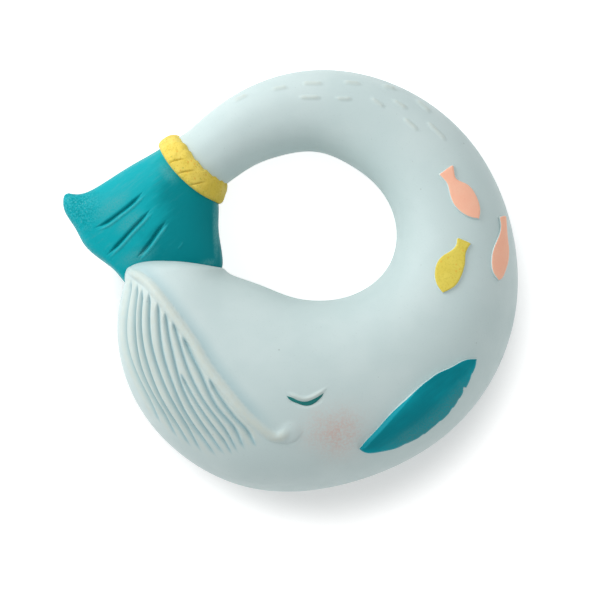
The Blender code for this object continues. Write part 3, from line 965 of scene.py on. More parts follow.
@dataclass(frozen=True)
class BodyPaint:
    """Matt pale blue on rubber: cream on the crests, painted bluish shade in the hollows, a blush, and few
    specks.

    Bumps are given by depth and strength.
    """

    name: str = "pale_blue_rubber"
    base: Colour = (0.560, 0.682, 0.680)
    pale: Colour = SKIN_TONE
    cream: Colour = (0.590, 0.650, 0.585)
    # The colour of the painted shade in the pleat valleys and at the foot of the lip.
    hollow: Colour = (0.290, 0.480, 0.525)
    flush: Colour = (0.640, 0.420, 0.360)
    speck: Colour = (0.300, 0.370, 0.360)
    specks: tuple[Dots, ...] = (Dots(420.0, 0.11, 0.06, 0.5), Dots(900.0, 0.14, 0.05, 0.28))
    slow: Cloud = Cloud(70.0, 3.0, low=0.35, high=0.68)
    grain: Cloud = Cloud(2600.0, 2.0, low=0.60, high=0.80, end=0.14)
    rubbed: Cloud = Cloud(900.0, rough=0.65, high=0.62, start=0.45)
    spray: Cloud = Cloud(1900.0, 5.0, 0.75, low=0.34, high=0.66, start=0.25)
    patches: Cloud = Cloud(240.0, 3.0, low=0.25, start=0.55)
    painted_shade_share: float = 0.9
    cream_share: float = 0.8
    flush_share: float = 0.95
    roughness: Cloud = Cloud(300.0, start=0.48, end=0.62)
    gloss: float = 0.30
    waves: Cloud = Cloud(130.0, 2.0)
    waves_bump: Pair = (0.5 * MM, 0.16)
    pores: Cloud = Cloud(1900.0, 3.0, 0.6)
    pores_bump: Pair = (0.06 * MM, 0.35)

    def tint(self, wiring: Wiring) -> Socket:
        """The plain paint with its slow changes of tone and its specks.

        Args:
            wiring: Where the nodes go.

        Returns:
            The colour.
        """
        tone = wiring.blend(wiring.cloud(self.slow), self.base, self.pale)
        tone = wiring.blend(wiring.cloud(self.grain), tone, self.speck)
        for dots in self.specks:
            tone = wiring.blend(wiring.dots(dots), tone, self.speck)
        return tone

    def material(self) -> bpy.types.Material:
        """Builds the finish. The mesh's marks are hollow (painted shade), cream and blush."""
        wiring = Wiring(bpy.data.materials.new(self.name))
        tone = self.tint(wiring)
        # Painted shade where the mesh is marked hollow.
        hollow = wiring.times(wiring.mark("hollow"), self.painted_shade_share)
        tone = wiring.blend(hollow, tone, self.hollow)
        cream = wiring.times(wiring.mark("cream"), wiring.cloud(self.rubbed), self.cream_share)
        tone = wiring.blend(cream, tone, self.cream)
        spray, patches = wiring.cloud(self.spray), wiring.cloud(self.patches)
        flush = wiring.times(wiring.mark("blush"), spray, patches, self.flush_share)
        tone = wiring.blend(flush, tone, self.flush)
        rough = wiring.cloud(self.roughness)
        waves, pores = wiring.noise(self.waves), wiring.noise(self.pores)
        normal = wiring.bumped((waves, *self.waves_bump), (pores, *self.pores_bump))
        return wiring.finished(tone, rough, normal, self.gloss)


@dataclass(frozen=True)
class BrushedPaint:
    """Teal laid on with a brush: a deep coat, paler dry strokes and painted highlights over it, dust, and
    painted sheen.

    Bumps are given by depth and strength, and stipples by two levels of their noise and strength.
    """

    name: str
    deep: Colour
    bright: Colour
    dusty: Colour
    stroke_turn: float = 38.0
    stroke_sizes: tuple[float, float, float] = (6.0, 1.0, 1.0)
    streaks: Cloud = Cloud(900.0, rough=0.6)
    streak_share: float = 0.45
    patches: Cloud = Cloud(95.0, 3.0)
    patch_share: float = 0.75
    cover_levels: Pair = (0.30, 0.95)
    scuffs: Cloud = Cloud(1100.0, 6.0, 0.75, low=0.50, high=0.72)
    scuff_share: float = 0.7
    mottle: Cloud = Cloud(2300.0, rough=0.75, low=0.36, high=0.62, start=0.25)
    stipple: Cloud = Cloud(2600.0, 3.0, 0.7)
    deep_stipple: tuple[float, float, float] = (0.48, 0.60, 0.75)
    dusty_stipple: tuple[float, float, float] = (0.46, 0.36, 0.5)
    skin_edge: Cloud = Cloud(1300.0, 3.0)
    rough_levels: Pair = (0.25, 0.75)
    roughness: Pair = (0.36, 0.54)
    gloss: float = 0.08
    waves: Cloud = Cloud(150.0, 2.0)
    waves_bump: Pair = (0.5 * MM, 0.2)
    streak_bump: Pair = (0.10 * MM, 0.35)
    pores: Cloud = Cloud(2400.0, 3.0, 0.6)
    pores_bump: Pair = (0.05 * MM, 0.4)

    def material(self) -> bpy.types.Material:
        """Builds the finish. The mesh's marks are bare (skin shows), brushed, dust, satin and stipple."""
        wiring = Wiring(bpy.data.materials.new(self.name))
        strokes = wiring.stretched(self.stroke_turn, self.stroke_sizes)
        streaks, patches = wiring.noise(self.streaks, strokes), wiring.noise(self.patches)
        streaked = wiring.times(streaks, self.streak_share)
        cover = wiring.maths("ADD", streaked, wiring.times(patches, self.patch_share))
        # Paler where the paint is dry or where a painted highlight is marked.
        cover = wiring.maths("ADD", cover, wiring.maths("SUBTRACT", wiring.mark("brushed"), EVEN_BRUSH))
        tone = wiring.blend(wiring.ranged(cover, *self.cover_levels), self.deep, self.bright)
        dust = wiring.times(wiring.mark("dust"), wiring.cloud(self.scuffs, strokes), self.scuff_share)
        tone = wiring.blend(dust, tone, self.dusty)
        # Painted sheen, in the dusty colour.
        satin = wiring.times(wiring.mark("satin"), wiring.cloud(self.mottle))
        tone = wiring.blend(satin, tone, self.dusty)
        coarse = wiring.noise(self.stipple)
        for ink, (low, high, strength) in ((self.deep, self.deep_stipple), (self.dusty, self.dusty_stipple)):
            spots = wiring.times(wiring.mark("stipple"), wiring.ranged(coarse, low, high), strength)
            tone = wiring.blend(spots, tone, ink)
        tone = wiring.skin_shown(tone, self.skin_edge)
        rough = wiring.ranged(streaks, *self.rough_levels, *self.roughness)
        waves, pores = wiring.noise(self.waves), wiring.noise(self.pores)
        layers = ((waves, *self.waves_bump), (streaks, *self.streak_bump), (pores, *self.pores_bump))
        return wiring.finished(tone, rough, wiring.bumped(*layers), self.gloss)


@dataclass(frozen=True)
class StippledPaint:
    """Matt paint dabbed on: grainy, with darker and lighter specks, and skin showing on its low edges.

    Each colour of flecks after the first has so many more cells for each metre. Bumps are given by depth
    and strength.
    """

    name: str
    base: Colour
    light: Colour
    shade: Colour
    flecks: tuple[Colour, ...] = ()
    grain: float = 0.35
    slow: Cloud = Cloud(320.0, 3.0)
    slow_share: float = 0.6
    fine: Cloud = Cloud(2300.0, rough=0.7, low=0.48)
    light_dots: Dots = Dots(1500.0, 0.22, 0.12, 0.6)
    fleck_dots: Dots = Dots(1250.0, 0.38, 0.20, 0.55)
    fleck_step: float = 330.0
    painted_shade_share: float = 0.85
    skin_edge: Cloud = Cloud(1700.0, 3.0)
    roughness: Cloud = Cloud(700.0, 3.0, start=0.52, end=0.68)
    gloss: float = 0.25
    waves: Cloud = Cloud(420.0, 2.0)
    waves_bump: Pair = (0.3 * MM, 0.25)
    pores: Cloud = Cloud(2600.0, rough=0.65)
    pores_bump: Pair = (0.10 * MM, 0.5)

    def material(self) -> bpy.types.Material:
        """Builds the finish. The mesh's marks are bare (skin shows) and hollow (painted shade)."""
        wiring = Wiring(bpy.data.materials.new(self.name))
        slow = wiring.times(wiring.cloud(self.slow), self.slow_share)
        tone = wiring.blend(slow, self.base, self.light)
        tone = wiring.blend(wiring.cloud(replace(self.fine, end=self.grain)), tone, self.shade)
        tone = wiring.blend(wiring.dots(self.light_dots), tone, self.light)
        for k, fleck in enumerate(self.flecks):
            dots = replace(self.fleck_dots, scale=self.fleck_dots.scale + self.fleck_step * k)
            tone = wiring.blend(wiring.dots(dots), tone, fleck)
        # Painted shade where the mesh is marked hollow.
        hollow = wiring.times(wiring.mark("hollow"), self.painted_shade_share)
        tone = wiring.skin_shown(wiring.blend(hollow, tone, self.shade), self.skin_edge)
        rough = wiring.cloud(self.roughness)
        waves, pores = wiring.noise(self.waves), wiring.noise(self.pores)
        normal = wiring.bumped((waves, *self.waves_bump), (pores, *self.pores_bump))
        return wiring.finished(tone, rough, normal, self.gloss)


FLUKE_PAINT = BrushedPaint("fluke_teal", (0.0, 0.232, 0.266), (0.004, 0.395, 0.450), (0.105, 0.395, 0.410))
FLIPPER_PAINT = BrushedPaint(
    "flipper_teal", (0.0, 0.222, 0.275), (0.001, 0.326, 0.398), (0.070, 0.245, 0.262), stroke_turn=40.0
)
LASH_PAINT = BrushedPaint("lash_teal", (0.010, 0.150, 0.155), (0.030, 0.240, 0.220), (0.10, 0.30, 0.28))
COLLAR_PAINT = StippledPaint(
    "collar_yellow",
    base=(0.800, 0.620, 0.090),
    light=(0.920, 0.750, 0.180),
    shade=(0.560, 0.380, 0.025),
    flecks=((0.780, 0.360, 0.030), (0.380, 0.440, 0.070)),
    grain=0.6,
)
CORAL_PAINT = StippledPaint(
    "fish_coral", base=(1.0, 0.525, 0.365), light=(1.0, 0.580, 0.415), shade=(0.96, 0.410, 0.270), grain=0.2
)
MUSTARD_PAINT = StippledPaint(
    "fish_mustard",
    base=(0.740, 0.600, 0.085),
    light=(0.800, 0.680, 0.120),
    shade=(0.520, 0.430, 0.040),
    flecks=((0.760, 0.420, 0.045),),
    grain=0.5,
)


# The body


def split_near(shape: bmesh.types.BMesh, lines: list[Line], margin: float) -> None:
    """Splits the faces near some lines in four.

    Args:
        shape: The mesh to refine.
        lines: Lines of relief.
        margin: How far past a line's reach the faces are split.
    """
    faces = list(shape.faces)
    middles = np.array([face.calc_center_median().to_2d() for face in faces])
    close = np.zeros(len(faces), bool)
    for line in lines:
        rows = line.near(middles, line.reach + margin)
        gap, _ = nearest(middles[rows], line.path)
        close[rows] |= gap < line.reach + margin
    edges = {edge for face, near in zip(faces, close) if near for edge in face.edges}
    bmesh.ops.subdivide_edges(shape, edges=list(edges), cuts=1, use_grid_fill=True)


def refined(
    rough: Shape, passes: Sequence[list[Line]], margin: float, merge: float = 0.0
) -> tuple[Shape, np.ndarray]:
    """Splits the faces of a form where its relief is fine.

    Args:
        rough: The form.
        passes: The lines of relief near which faces are split, for each pass.
        margin: How far past a line's reach the faces are split.
        merge: Distance within which points are made one.

    Returns:
        The finer form, and the outward normals of its points.
    """
    shape = bmesh.new()
    corners = [shape.verts.new(point) for point in rough.points.tolist()]
    for face in rough.faces:
        shape.faces.new([corners[i] for i in face])
    if merge:
        bmesh.ops.remove_doubles(shape, verts=shape.verts, dist=merge)
    for lines in passes:
        split_near(shape, lines, margin)
    bmesh.ops.recalc_face_normals(shape, faces=shape.faces)
    shape.normal_update()
    shape.verts.index_update()
    points = np.array([vert.co for vert in shape.verts])
    normals = np.array([vert.normal for vert in shape.verts])
    faces = [tuple(vert.index for vert in face.verts) for face in shape.faces]
    shape.free()
    return Shape(points, faces), normals


class Skin:
    """The carved outside of the body, on which raised pieces are laid from a height clear of it."""

    clear: float = 0.2

    def __init__(
        self, points: np.ndarray, faces: list[tuple[int, ...]], normals: np.ndarray, sweep: Sweep
    ) -> None:
        """Builds the search tree.

        Args:
            points: Points of the body in plan places.
            faces: Its faces.
            normals: Outward normals of its points.
            sweep: The form that the body follows.
        """
        self.sweep = sweep
        self.points = points
        self.faces = faces
        self.normals = normals
        self.tree = BVHTree.FromPolygons(points.tolist(), faces)

    def drop(self, places: np.ndarray, flank: Flank) -> tuple[np.ndarray, np.ndarray]:
        """Lays plan places on the skin.

        Args:
            places: Plan places over the body.
            flank: The side to lay them on.

        Returns:
            Their points on the skin, and the smooth normals there.
        """
        side = flank.value
        spots, normals = np.empty((len(places), 3)), np.empty((len(places), 3))
        for k, (x, y) in enumerate(places):
            above = Vector((x, y, self.clear * side))
            spot, _, face, _ = self.tree.ray_cast(above, Vector((0, 0, -side)))
            if spot is None:
                spot, _, face, _ = self.tree.find_nearest(Vector((x, y, self.sweep.middle(y))))
            ids = self.faces[face]
            shares = poly_3d_calc([Vector(self.points[i]) for i in ids], spot)
            smooth = np.asarray(shares) @ self.normals[list(ids)]
            spots[k] = spot
            normals[k] = smooth / np.linalg.norm(smooth)
        return spots, normals


@dataclass
class Body:
    """The hollow ring from the collar to the snout, with its face and back carved in.

    The corner between the head and the end of the snout is rounded on the side of the hole, over so many
    rows on each side of a row just past it, in so many turns. The pleats and the first, finest details
    are split twice.
    """

    sweep: Sweep
    columns: int = 156
    back_step: float = 0.85 * MM
    head_step: float = 0.62 * MM
    cap_rows: int = 16
    cap_open: float = 0.6
    snout_length: float = 3.1 * MM
    snout_fullness: float = 3.2
    snout_skew: float = 0.70
    snout_sag: float = 0.25
    corner_past: int = 2
    corner_rows: Pair = (3.0, 9.0)
    corner_side: Pair = (0.0, 0.7)
    corner_turns: int = 24
    margin: float = 0.45 * MM
    finest: int = 3
    paint: BodyPaint = field(default_factory=BodyPaint)
    sight: Sight = field(init=False)
    face: Face = field(init=False)
    skin: Skin = field(init=False)

    def softened(self, grid: np.ndarray, edge: int, angles: np.ndarray) -> np.ndarray:
        """Rounds the corner between the head and the end of the snout on the side of the hole.

        Args:
            grid: Points of the body, rows by columns by three.
            edge: Row of the corner.
            angles: Angle of each column.

        Returns:
            The points with that corner eased.
        """
        away = np.abs(np.arange(len(grid)) - edge - self.corner_past)
        beside = eased(-np.cos(angles), *self.corner_side)
        share = 0.5 * (1 - eased(away, *self.corner_rows))[:, None] * beside
        for _ in range(self.corner_turns):
            between = (grid[:-2] + grid[2:]) / 2
            grid = grid.copy()
            grid[1:-1] += share[1:-1, :, None] * (between - grid[1:-1])
        return grid

    def rough_form(self) -> Shape:
        """The smooth sweep, closed at the tail end and by the round snout."""
        knots = self.sweep.knots
        start, turn, end = knots[self.sweep.mouth_row], knots[self.sweep.head_row], knots[-1]
        back = np.linspace(start, turn, round((turn - start) / self.back_step) + 1)
        head = np.linspace(turn, end, round((end - turn) / self.head_step) + 1)[1:]
        angles = np.linspace(0.0, 2 * np.pi, self.columns, endpoint=False) + np.pi
        share = np.sin(np.pi / 2 * np.arange(1, self.cap_rows + 1) / (self.cap_rows + self.cap_open))
        scale = (1 - share**self.snout_fullness) ** (1 / self.snout_fullness)
        rows = np.concatenate([back, head])
        sheet = self.sweep.grid(rows, angles)
        aside = scale[:, None] * np.cos(angles)
        reach = self.snout_length * share[:, None] * (1 + self.snout_skew * aside - self.snout_sag * aside**2)
        thin = 1 - self.sweep.taper(end) * reach
        cap = self.sweep.grid(np.full(self.cap_rows, end), angles, scale=scale, shift=reach, flat=thin)
        points = self.softened(np.concatenate([sheet, cap]), len(rows) - 1, angles).reshape(-1, 3)
        count = len(points)
        ends = np.stack([points[: self.columns].mean(axis=0), points[-self.columns :].mean(axis=0)])
        faces = quads(len(rows) + self.cap_rows, self.columns, True)
        faces += fan(list(range(self.columns)), count, True)
        faces += fan(list(range(count - self.columns, count)), count + 1, False)
        return Shape(np.concatenate([points, ends]), faces)

    def build(self, model: Model) -> None:
        """Makes the carved body and its skin.

        Args:
            model: The model that it goes into.
        """
        rough = self.rough_form()
        self.sight = Sight(rough.points, rough.faces)
        self.face = Face(self.sight)
        pleats, details = self.face.pleats(), self.face.details()
        passes = ([*pleats, self.face.lips(), *details], [*pleats, *details[: self.finest]])
        plain, normals = refined(rough, passes, self.margin)
        carving = Carving.of(plain.points[:, :2], self.face)
        points = plain.points + normals * carving.lift[:, None]
        points[:, 2] = np.maximum(points[:, 2], 0.0)
        self.skin = Skin(points, plain.faces, normals, self.sweep)
        marks = {"cream": carving.cream, "hollow": carving.hollow, "blush": self.face.blush(points[:, :2])}
        whole = Shape(points, plain.faces, marks)
        model.add("whale_body", whole, "body_shell", "body_paint", self.paint.material())


# The tail


@dataclass
class Fluke:
    """The fanned tail, with drawn-out folds cut into both flanks.

    Its paint is laid on thin towards the tip and stippled at the tip, with dust where it is thin. A painted
    highlight runs along the upper edge, which faces the lamp, and along the low ridge beside each fold.
    Painted sheen lies on its steep sides, on those ridges and in some patches, strongest along the edge at
    the hole as a painted reflection. The patches are given by place, half length and half width in drawing
    units, turn in degrees and strength.
    """

    sweep: Sweep
    columns: int = 200
    step: float = 0.42 * MM
    under_collar: float = 1.0 * MM
    trailing_round: float = 2.9 * MM
    trailing_bow: float = 1.3 * MM
    cap_rows: int = 14
    tip_swell: float = 0.03
    tip_shrink: float = 0.02
    merge: float = 0.02 * MM
    margin: float = 0.4 * MM
    fold_reach: float = 0.62 * MM
    fold_depth: float = 0.64 * MM
    fold_ends: Pair = (0.28, 0.28)
    fold_points: int = 40
    ridge_offset: Pair = (2.5, 2.8)
    ridge_reach: float = 0.46 * MM
    ridge_height: float = 0.2 * MM
    ridge_ends: Pair = (0.25, 0.25)
    lone_share: Pair = (0.6, 0.3)
    trailing_shape: tuple[Pair, ...] = (
        (-1.0, 0.45), (-0.74, 0.52), (-0.5, 0.44), (-0.3, 0.58), (-0.1, 0.82), (0.1, 1.0), (0.4, 0.89),
        (0.7, 0.94), (0.9, 0.84), (1.0, 0.62),
    )
    folds: tuple[Points, ...] = (
        ((145.4, 189.4), (129.5, 205.0), (117.5, 214.4), (106.4, 222.4), (91.5, 229.4)),
        ((153.4, 206), (139.5, 221.3), (130, 231.2), (122.3, 239.8), (115.6, 246.8), (104, 258)),
        ((168, 218.6), (157, 232.6), (149, 243.9), (135.4, 259.4)),
    )
    lone_ridge: Points = ((183.5, 240.5), (181, 245), (177, 249.5))
    upper_edge: Points = ((64, 199), (76, 195.5), (90, 194), (104, 188), (130, 171), (157, 151))
    # Painted highlight along the upper edge, which faces the lamp.
    rim_reach: Pair = (3.0, 15.0)
    upper_edge_highlight: float = 1.15
    thin_slant: float = 0.25
    thin_level: float = 200.0
    thin_span: Pair = (120.0, 205.0)
    tip_spot: Pair = (70.0, 208.0)
    tip_reach: Pair = (12.0, 42.0)
    # Dust where the paint is thin; along the upper edge it is part of the painted highlight.
    dust_and_sheen_share: float = 0.35
    # Painted sheen on the steep sides and on the ridges beside the folds.
    side_painted_sheen: float = 0.7
    side_tilt: Pair = (0.10, 0.52)
    ridge_painted_sheen: float = 0.45
    # Painted highlight on the ridges beside the folds.
    ridge_highlight: float = 0.8
    # Patches of painted sheen; the long one along the hole's edge is a painted reflection.
    satin: tuple[tuple[float, ...], ...] = (
        (112, 206, 20, 7, -37, 0.45), (168, 173, 12, 6, 47, 0.45), (130, 222, 15, 6, -40, 0.45),
        (137, 256.5, 18, 7, -20, 0.45), (215.4, 232, 26, 2.4, 88, 0.9), (209, 262.5, 8, 3, -10, 0.6),
    )
    patch_fade: Pair = (0.3, 1.5)
    paint: BrushedPaint = FLUKE_PAINT

    def lines(self, sight: Sight) -> list[Line]:
        """The folds as lines of relief, with a low ridge beside each, and one small ridge by itself.

        Args:
            sight: Where the drawing's places are on the fluke.

        Returns:
            One line for each fold, then the ridges.
        """
        sizes = (Form.VALLEY, self.fold_reach, self.fold_depth, self.fold_ends)
        cuts = [sight.line(path, self.fold_points) for path in self.folds]
        lines = [Line(path, *sizes, round=1.3, power=1.5, least=0.2) for path in cuts]
        sizes = (Form.RIDGE, self.ridge_reach, self.ridge_height, self.ridge_ends)
        beside = [np.array(path) + self.ridge_offset for path in self.folds]
        crests = [sight.line(path, self.fold_points) for path in [*beside, self.lone_ridge]]
        lines += [Line(path, *sizes, power=1.5, least=0.3) for path in crests]
        reach, height = self.lone_share
        lines[-1].reach *= reach
        lines[-1].height *= height
        return lines

    def rough_form(self) -> Shape:
        """The smooth fan with its round trailing edge, open under the collar."""
        mouth = self.sweep.knots[self.sweep.mouth_row]
        angles = np.linspace(0.0, 2 * np.pi, self.columns, endpoint=False)
        start = mouth + self.under_collar
        rows = np.linspace(start, 0.0, round(start / self.step) + 1)
        bow = -self.trailing_bow * np.clip(1 - rows / mouth, 0.0, 1.0)
        sheet = self.sweep.grid(rows, angles, bow=bow)
        share = np.sin(np.pi / 2 * np.arange(1, self.cap_rows + 1) / self.cap_rows)
        knots, shares = np.array(self.trailing_shape).T
        reach = Curve(knots, shares[:, None])(np.cos(angles))[:, 0]
        edge = self.sweep.grid(
            np.zeros(self.cap_rows),
            angles,
            shift=-self.trailing_round * share[:, None] * reach,
            flat=np.sqrt(1 - share**2),
            scale=1 + self.tip_swell * np.sin(np.pi * share) - self.tip_shrink * share,
            bow=np.full(self.cap_rows, -self.trailing_bow),
        )
        grid = np.concatenate([sheet, edge])
        return Shape(grid.reshape(-1, 3), quads(len(grid), self.columns, True))

    def build(self, model: Model) -> None:
        """Makes the fluke.

        Args:
            model: The model that it goes into.
        """
        rough = self.rough_form()
        lines = self.lines(Sight(rough.points, rough.faces))
        rough.faces.append(tuple(range(self.columns)))
        plain, normals = refined(rough, (lines, lines), self.margin, self.merge)
        lift = np.zeros(len(plain.points))
        for line in lines:
            rows, share = line.profile(plain.points[:, :2])
            lift[rows] += line.form.value * line.height * share
        marks = self.marks(plain.points, normals, lines)
        whole = Shape(plain.points + normals * lift[:, None], plain.faces, marks)
        model.add("whale_fluke", whole, "tail_fluke", "fluke_paint", self.paint.material())

    def marks(self, points: np.ndarray, normals: np.ndarray, lines: list[Line]) -> dict[str, np.ndarray]:
        """Where the paint is thin, dusty or stippled, and where painted highlight and painted sheen lie on
        it. None of it is rubbed off.

        Args:
            points: Points of the fluke.
            normals: Outward normals of its points.
            lines: Its folds and the ridges beside them.

        Returns:
            The marks that the finish reads.
        """
        drawn = DRAWING.units(points[:, :2])
        slant = drawn[:, 0] + self.thin_slant * (drawn[:, 1] - self.thin_level)
        rim, _ = nearest(drawn, np.array(self.upper_edge, float))
        # Painted highlight along the upper edge.
        edge = self.upper_edge_highlight * (1 - eased(rim, *self.rim_reach))
        brushed = np.maximum(1 - eased(slant, *self.thin_span), edge)
        tip = 1 - eased(np.linalg.norm(drawn - self.tip_spot, axis=1), *self.tip_reach)
        folds, light, bare = (np.zeros(len(points)) for _ in range(3))
        # Painted sheen on the steep sides.
        satin = self.side_painted_sheen * (1 - eased(np.abs(normals[:, 2]), *self.side_tilt))
        for line in lines:
            rows, share = line.profile(points[:, :2])
            # Painted sheen and painted highlight on the ridges beside the folds.
            if line.form is Form.RIDGE:
                share = share * line.height / self.ridge_height
                satin[rows] = np.maximum(satin[rows], self.ridge_painted_sheen * share)
                light[rows] = np.maximum(light[rows], share)
            else:
                folds[rows] = np.maximum(folds[rows], share)
        # Patches of painted sheen.
        for x, y, length, width, turn, strength in self.satin:
            lean = np.array((math.cos(math.radians(turn)), math.sin(math.radians(turn))))
            long = (drawn - (x, y)) @ lean / length
            wide = (drawn - (x, y)) @ (lean[1], -lean[0]) / width
            satin = np.maximum(satin, strength * (1 - eased(np.hypot(long, wide), *self.patch_fade)))
        # Dust where the paint is thin, part of the painted highlight along the upper edge.
        dust = self.dust_and_sheen_share * brushed
        # Painted highlight on the ridges beside the folds.
        brushed = brushed * (1 - folds) + self.ridge_highlight * light
        return {"bare": bare, "brushed": brushed, "dust": dust, "satin": satin, "stipple": tip}


@dataclass
class Collar:
    """The lumpy band round the tail stock, with slanted grooves that start at its edge to the fluke.

    Grooves are cut to the depths of a repeating row. Lumps and wandering lines are waves, given by height,
    waves round the band, phase, and turn across the band. Pairs of places say where across or round it a
    change starts and ends. Painted shade darkens it towards one side, from a place in the drawing, and in
    its grooves.
    """

    sweep: Sweep
    columns: int = 360
    rows: int = 61
    width: float = 5.1 * MM
    thickness: float = 1.8 * MM
    dome: Pair = (3.0, 2.4)
    hole_thin: float = 0.55
    hole_power: float = 1.5
    hole_side: Pair = (0.4, 1.0)
    outer_thin: float = 0.18
    outer_side: Pair = (0.5, 1.0)
    outer_pull: float = 0.9 * MM
    pull_span: Pair = (-0.4, 1.0)
    sink: float = 0.35 * MM
    grooves: int = 18
    groove_depth: float = 0.40 * MM
    groove_reach: float = 0.085
    groove_power: float = 1.3
    slant: float = -1.2
    wander: tuple[float, float, float] = (0.07, 5.0, 0.7)
    cuts: tuple[float, ...] = (0.3, 0.2, 0.3, 1.0, 1.0, 1.0, 0.25, 0.15, 0.3)
    fade: Pair = (-0.25, 0.55)
    fade_wave: Pair = (0.12, 3.0)
    stair: float = 0.35 * MM
    stair_rise: Pair = (0.0, 0.2)
    stair_side: Pair = (0.2, 1.0)
    bow: float = 1.6 * MM
    lump_share: float = 0.05
    lumps: tuple[tuple[float, ...], ...] = (
        (0.5, 7, 1.1, 0.8), (0.35, 13, -0.6, -1.7), (0.3, 23, 2.3, 2.6), (0.25, 9, 0.0, 5.1),
    )
    # Painted shade, darker towards the lower right, the side away from the lamp.
    side_shade_spot: Pair = (165.0, 150.0)
    side_shade_way: Pair = (0.75, 0.66)
    side_shade_span: Pair = (12.0, 75.0)
    side_shade_share: float = 0.4
    paint: StippledPaint = COLLAR_PAINT

    def phase(self, turn: np.ndarray, place: np.ndarray) -> np.ndarray:
        """Which groove is near, with the place between it and the next as a fraction.

        Args:
            turn: Angles round the band, one for each column.
            place: Places across it, from -1 to 1, one for each row.

        Returns:
            Numbers for each row and column.
        """
        middle = self.sweep.knots[[self.sweep.mouth_row]]
        ring = self.sweep.grid(middle, turn, grow=self.thickness)[0]
        lap = run_along(np.concatenate([ring, ring[:1]]))
        size, waves, start = self.wander
        lean = self.slant * (place + 1) / 2 + size * np.sin(waves * turn + start)
        return self.grooves * lap[:-1] / lap[-1] + lean

    def build(self, model: Model) -> None:
        """Makes the collar.

        Args:
            model: The model that it goes into.
        """
        turn = np.linspace(0.0, 2 * np.pi, self.columns, endpoint=False)
        place = -np.cos(np.linspace(0.0, np.pi, self.rows))[:, None]
        full, power = self.dome
        dome = (1 - np.abs(place) ** full) ** (1 / power)
        phase = self.phase(turn, place)
        aside = np.abs(phase - np.round(phase)) / self.groove_reach
        size, waves = self.fade_wave
        reach = 1 - eased(place + size * np.sin(waves * turn), *self.fade)
        strength = np.array(self.cuts)[np.round(phase).astype(int) % len(self.cuts)]
        groove = np.clip(1 - aside, 0.0, 1.0) ** self.groove_power * reach * strength
        outer = eased(np.cos(turn), *self.outer_side)
        inner = eased(-np.cos(turn), *self.hole_side)
        thin = self.hole_thin * inner * np.abs(place) ** self.hole_power + self.outer_thin * outer
        swell = 1 - thin
        for size, waves, start, bend in self.lumps:
            swell = swell + self.lump_share * size * np.sin(waves * turn + start + bend * place)
        grow = -self.sink + (self.thickness * swell + self.sink) * dome - self.groove_depth * groove * dome
        step = phase - np.floor(phase)
        stair = self.stair * (eased(step, *self.stair_rise) - step) * eased(place, *self.stair_side)
        lean = stair - self.bow * np.sin(turn) ** 2 - self.outer_pull * outer * eased(place, *self.pull_span)
        along = self.sweep.knots[self.sweep.mouth_row] + place[:, 0] * self.width / 2
        tapers = np.array([self.sweep.taper(spot) for spot in along])[:, None]
        points = self.sweep.grid(along, turn, grow=grow, shift=lean, flat=1 - tapers * lean).reshape(-1, 3)
        faces = [face[::-1] for face in quads(self.rows, self.columns, True)]
        # Painted shade: darker towards the lower right and in the grooves.
        shaded = (DRAWING.units(points[:, :2]) - self.side_shade_spot) @ self.side_shade_way
        side_shade = self.side_shade_share * eased(shaded, *self.side_shade_span)
        hollow = np.maximum((groove * dome).ravel(), side_shade)
        whole = Shape(points, faces, {"hollow": hollow, "bare": np.zeros(len(hollow))})
        model.add("whale_collar", whole, "tail_collar", "collar_paint", self.paint.material())


# Raised pieces


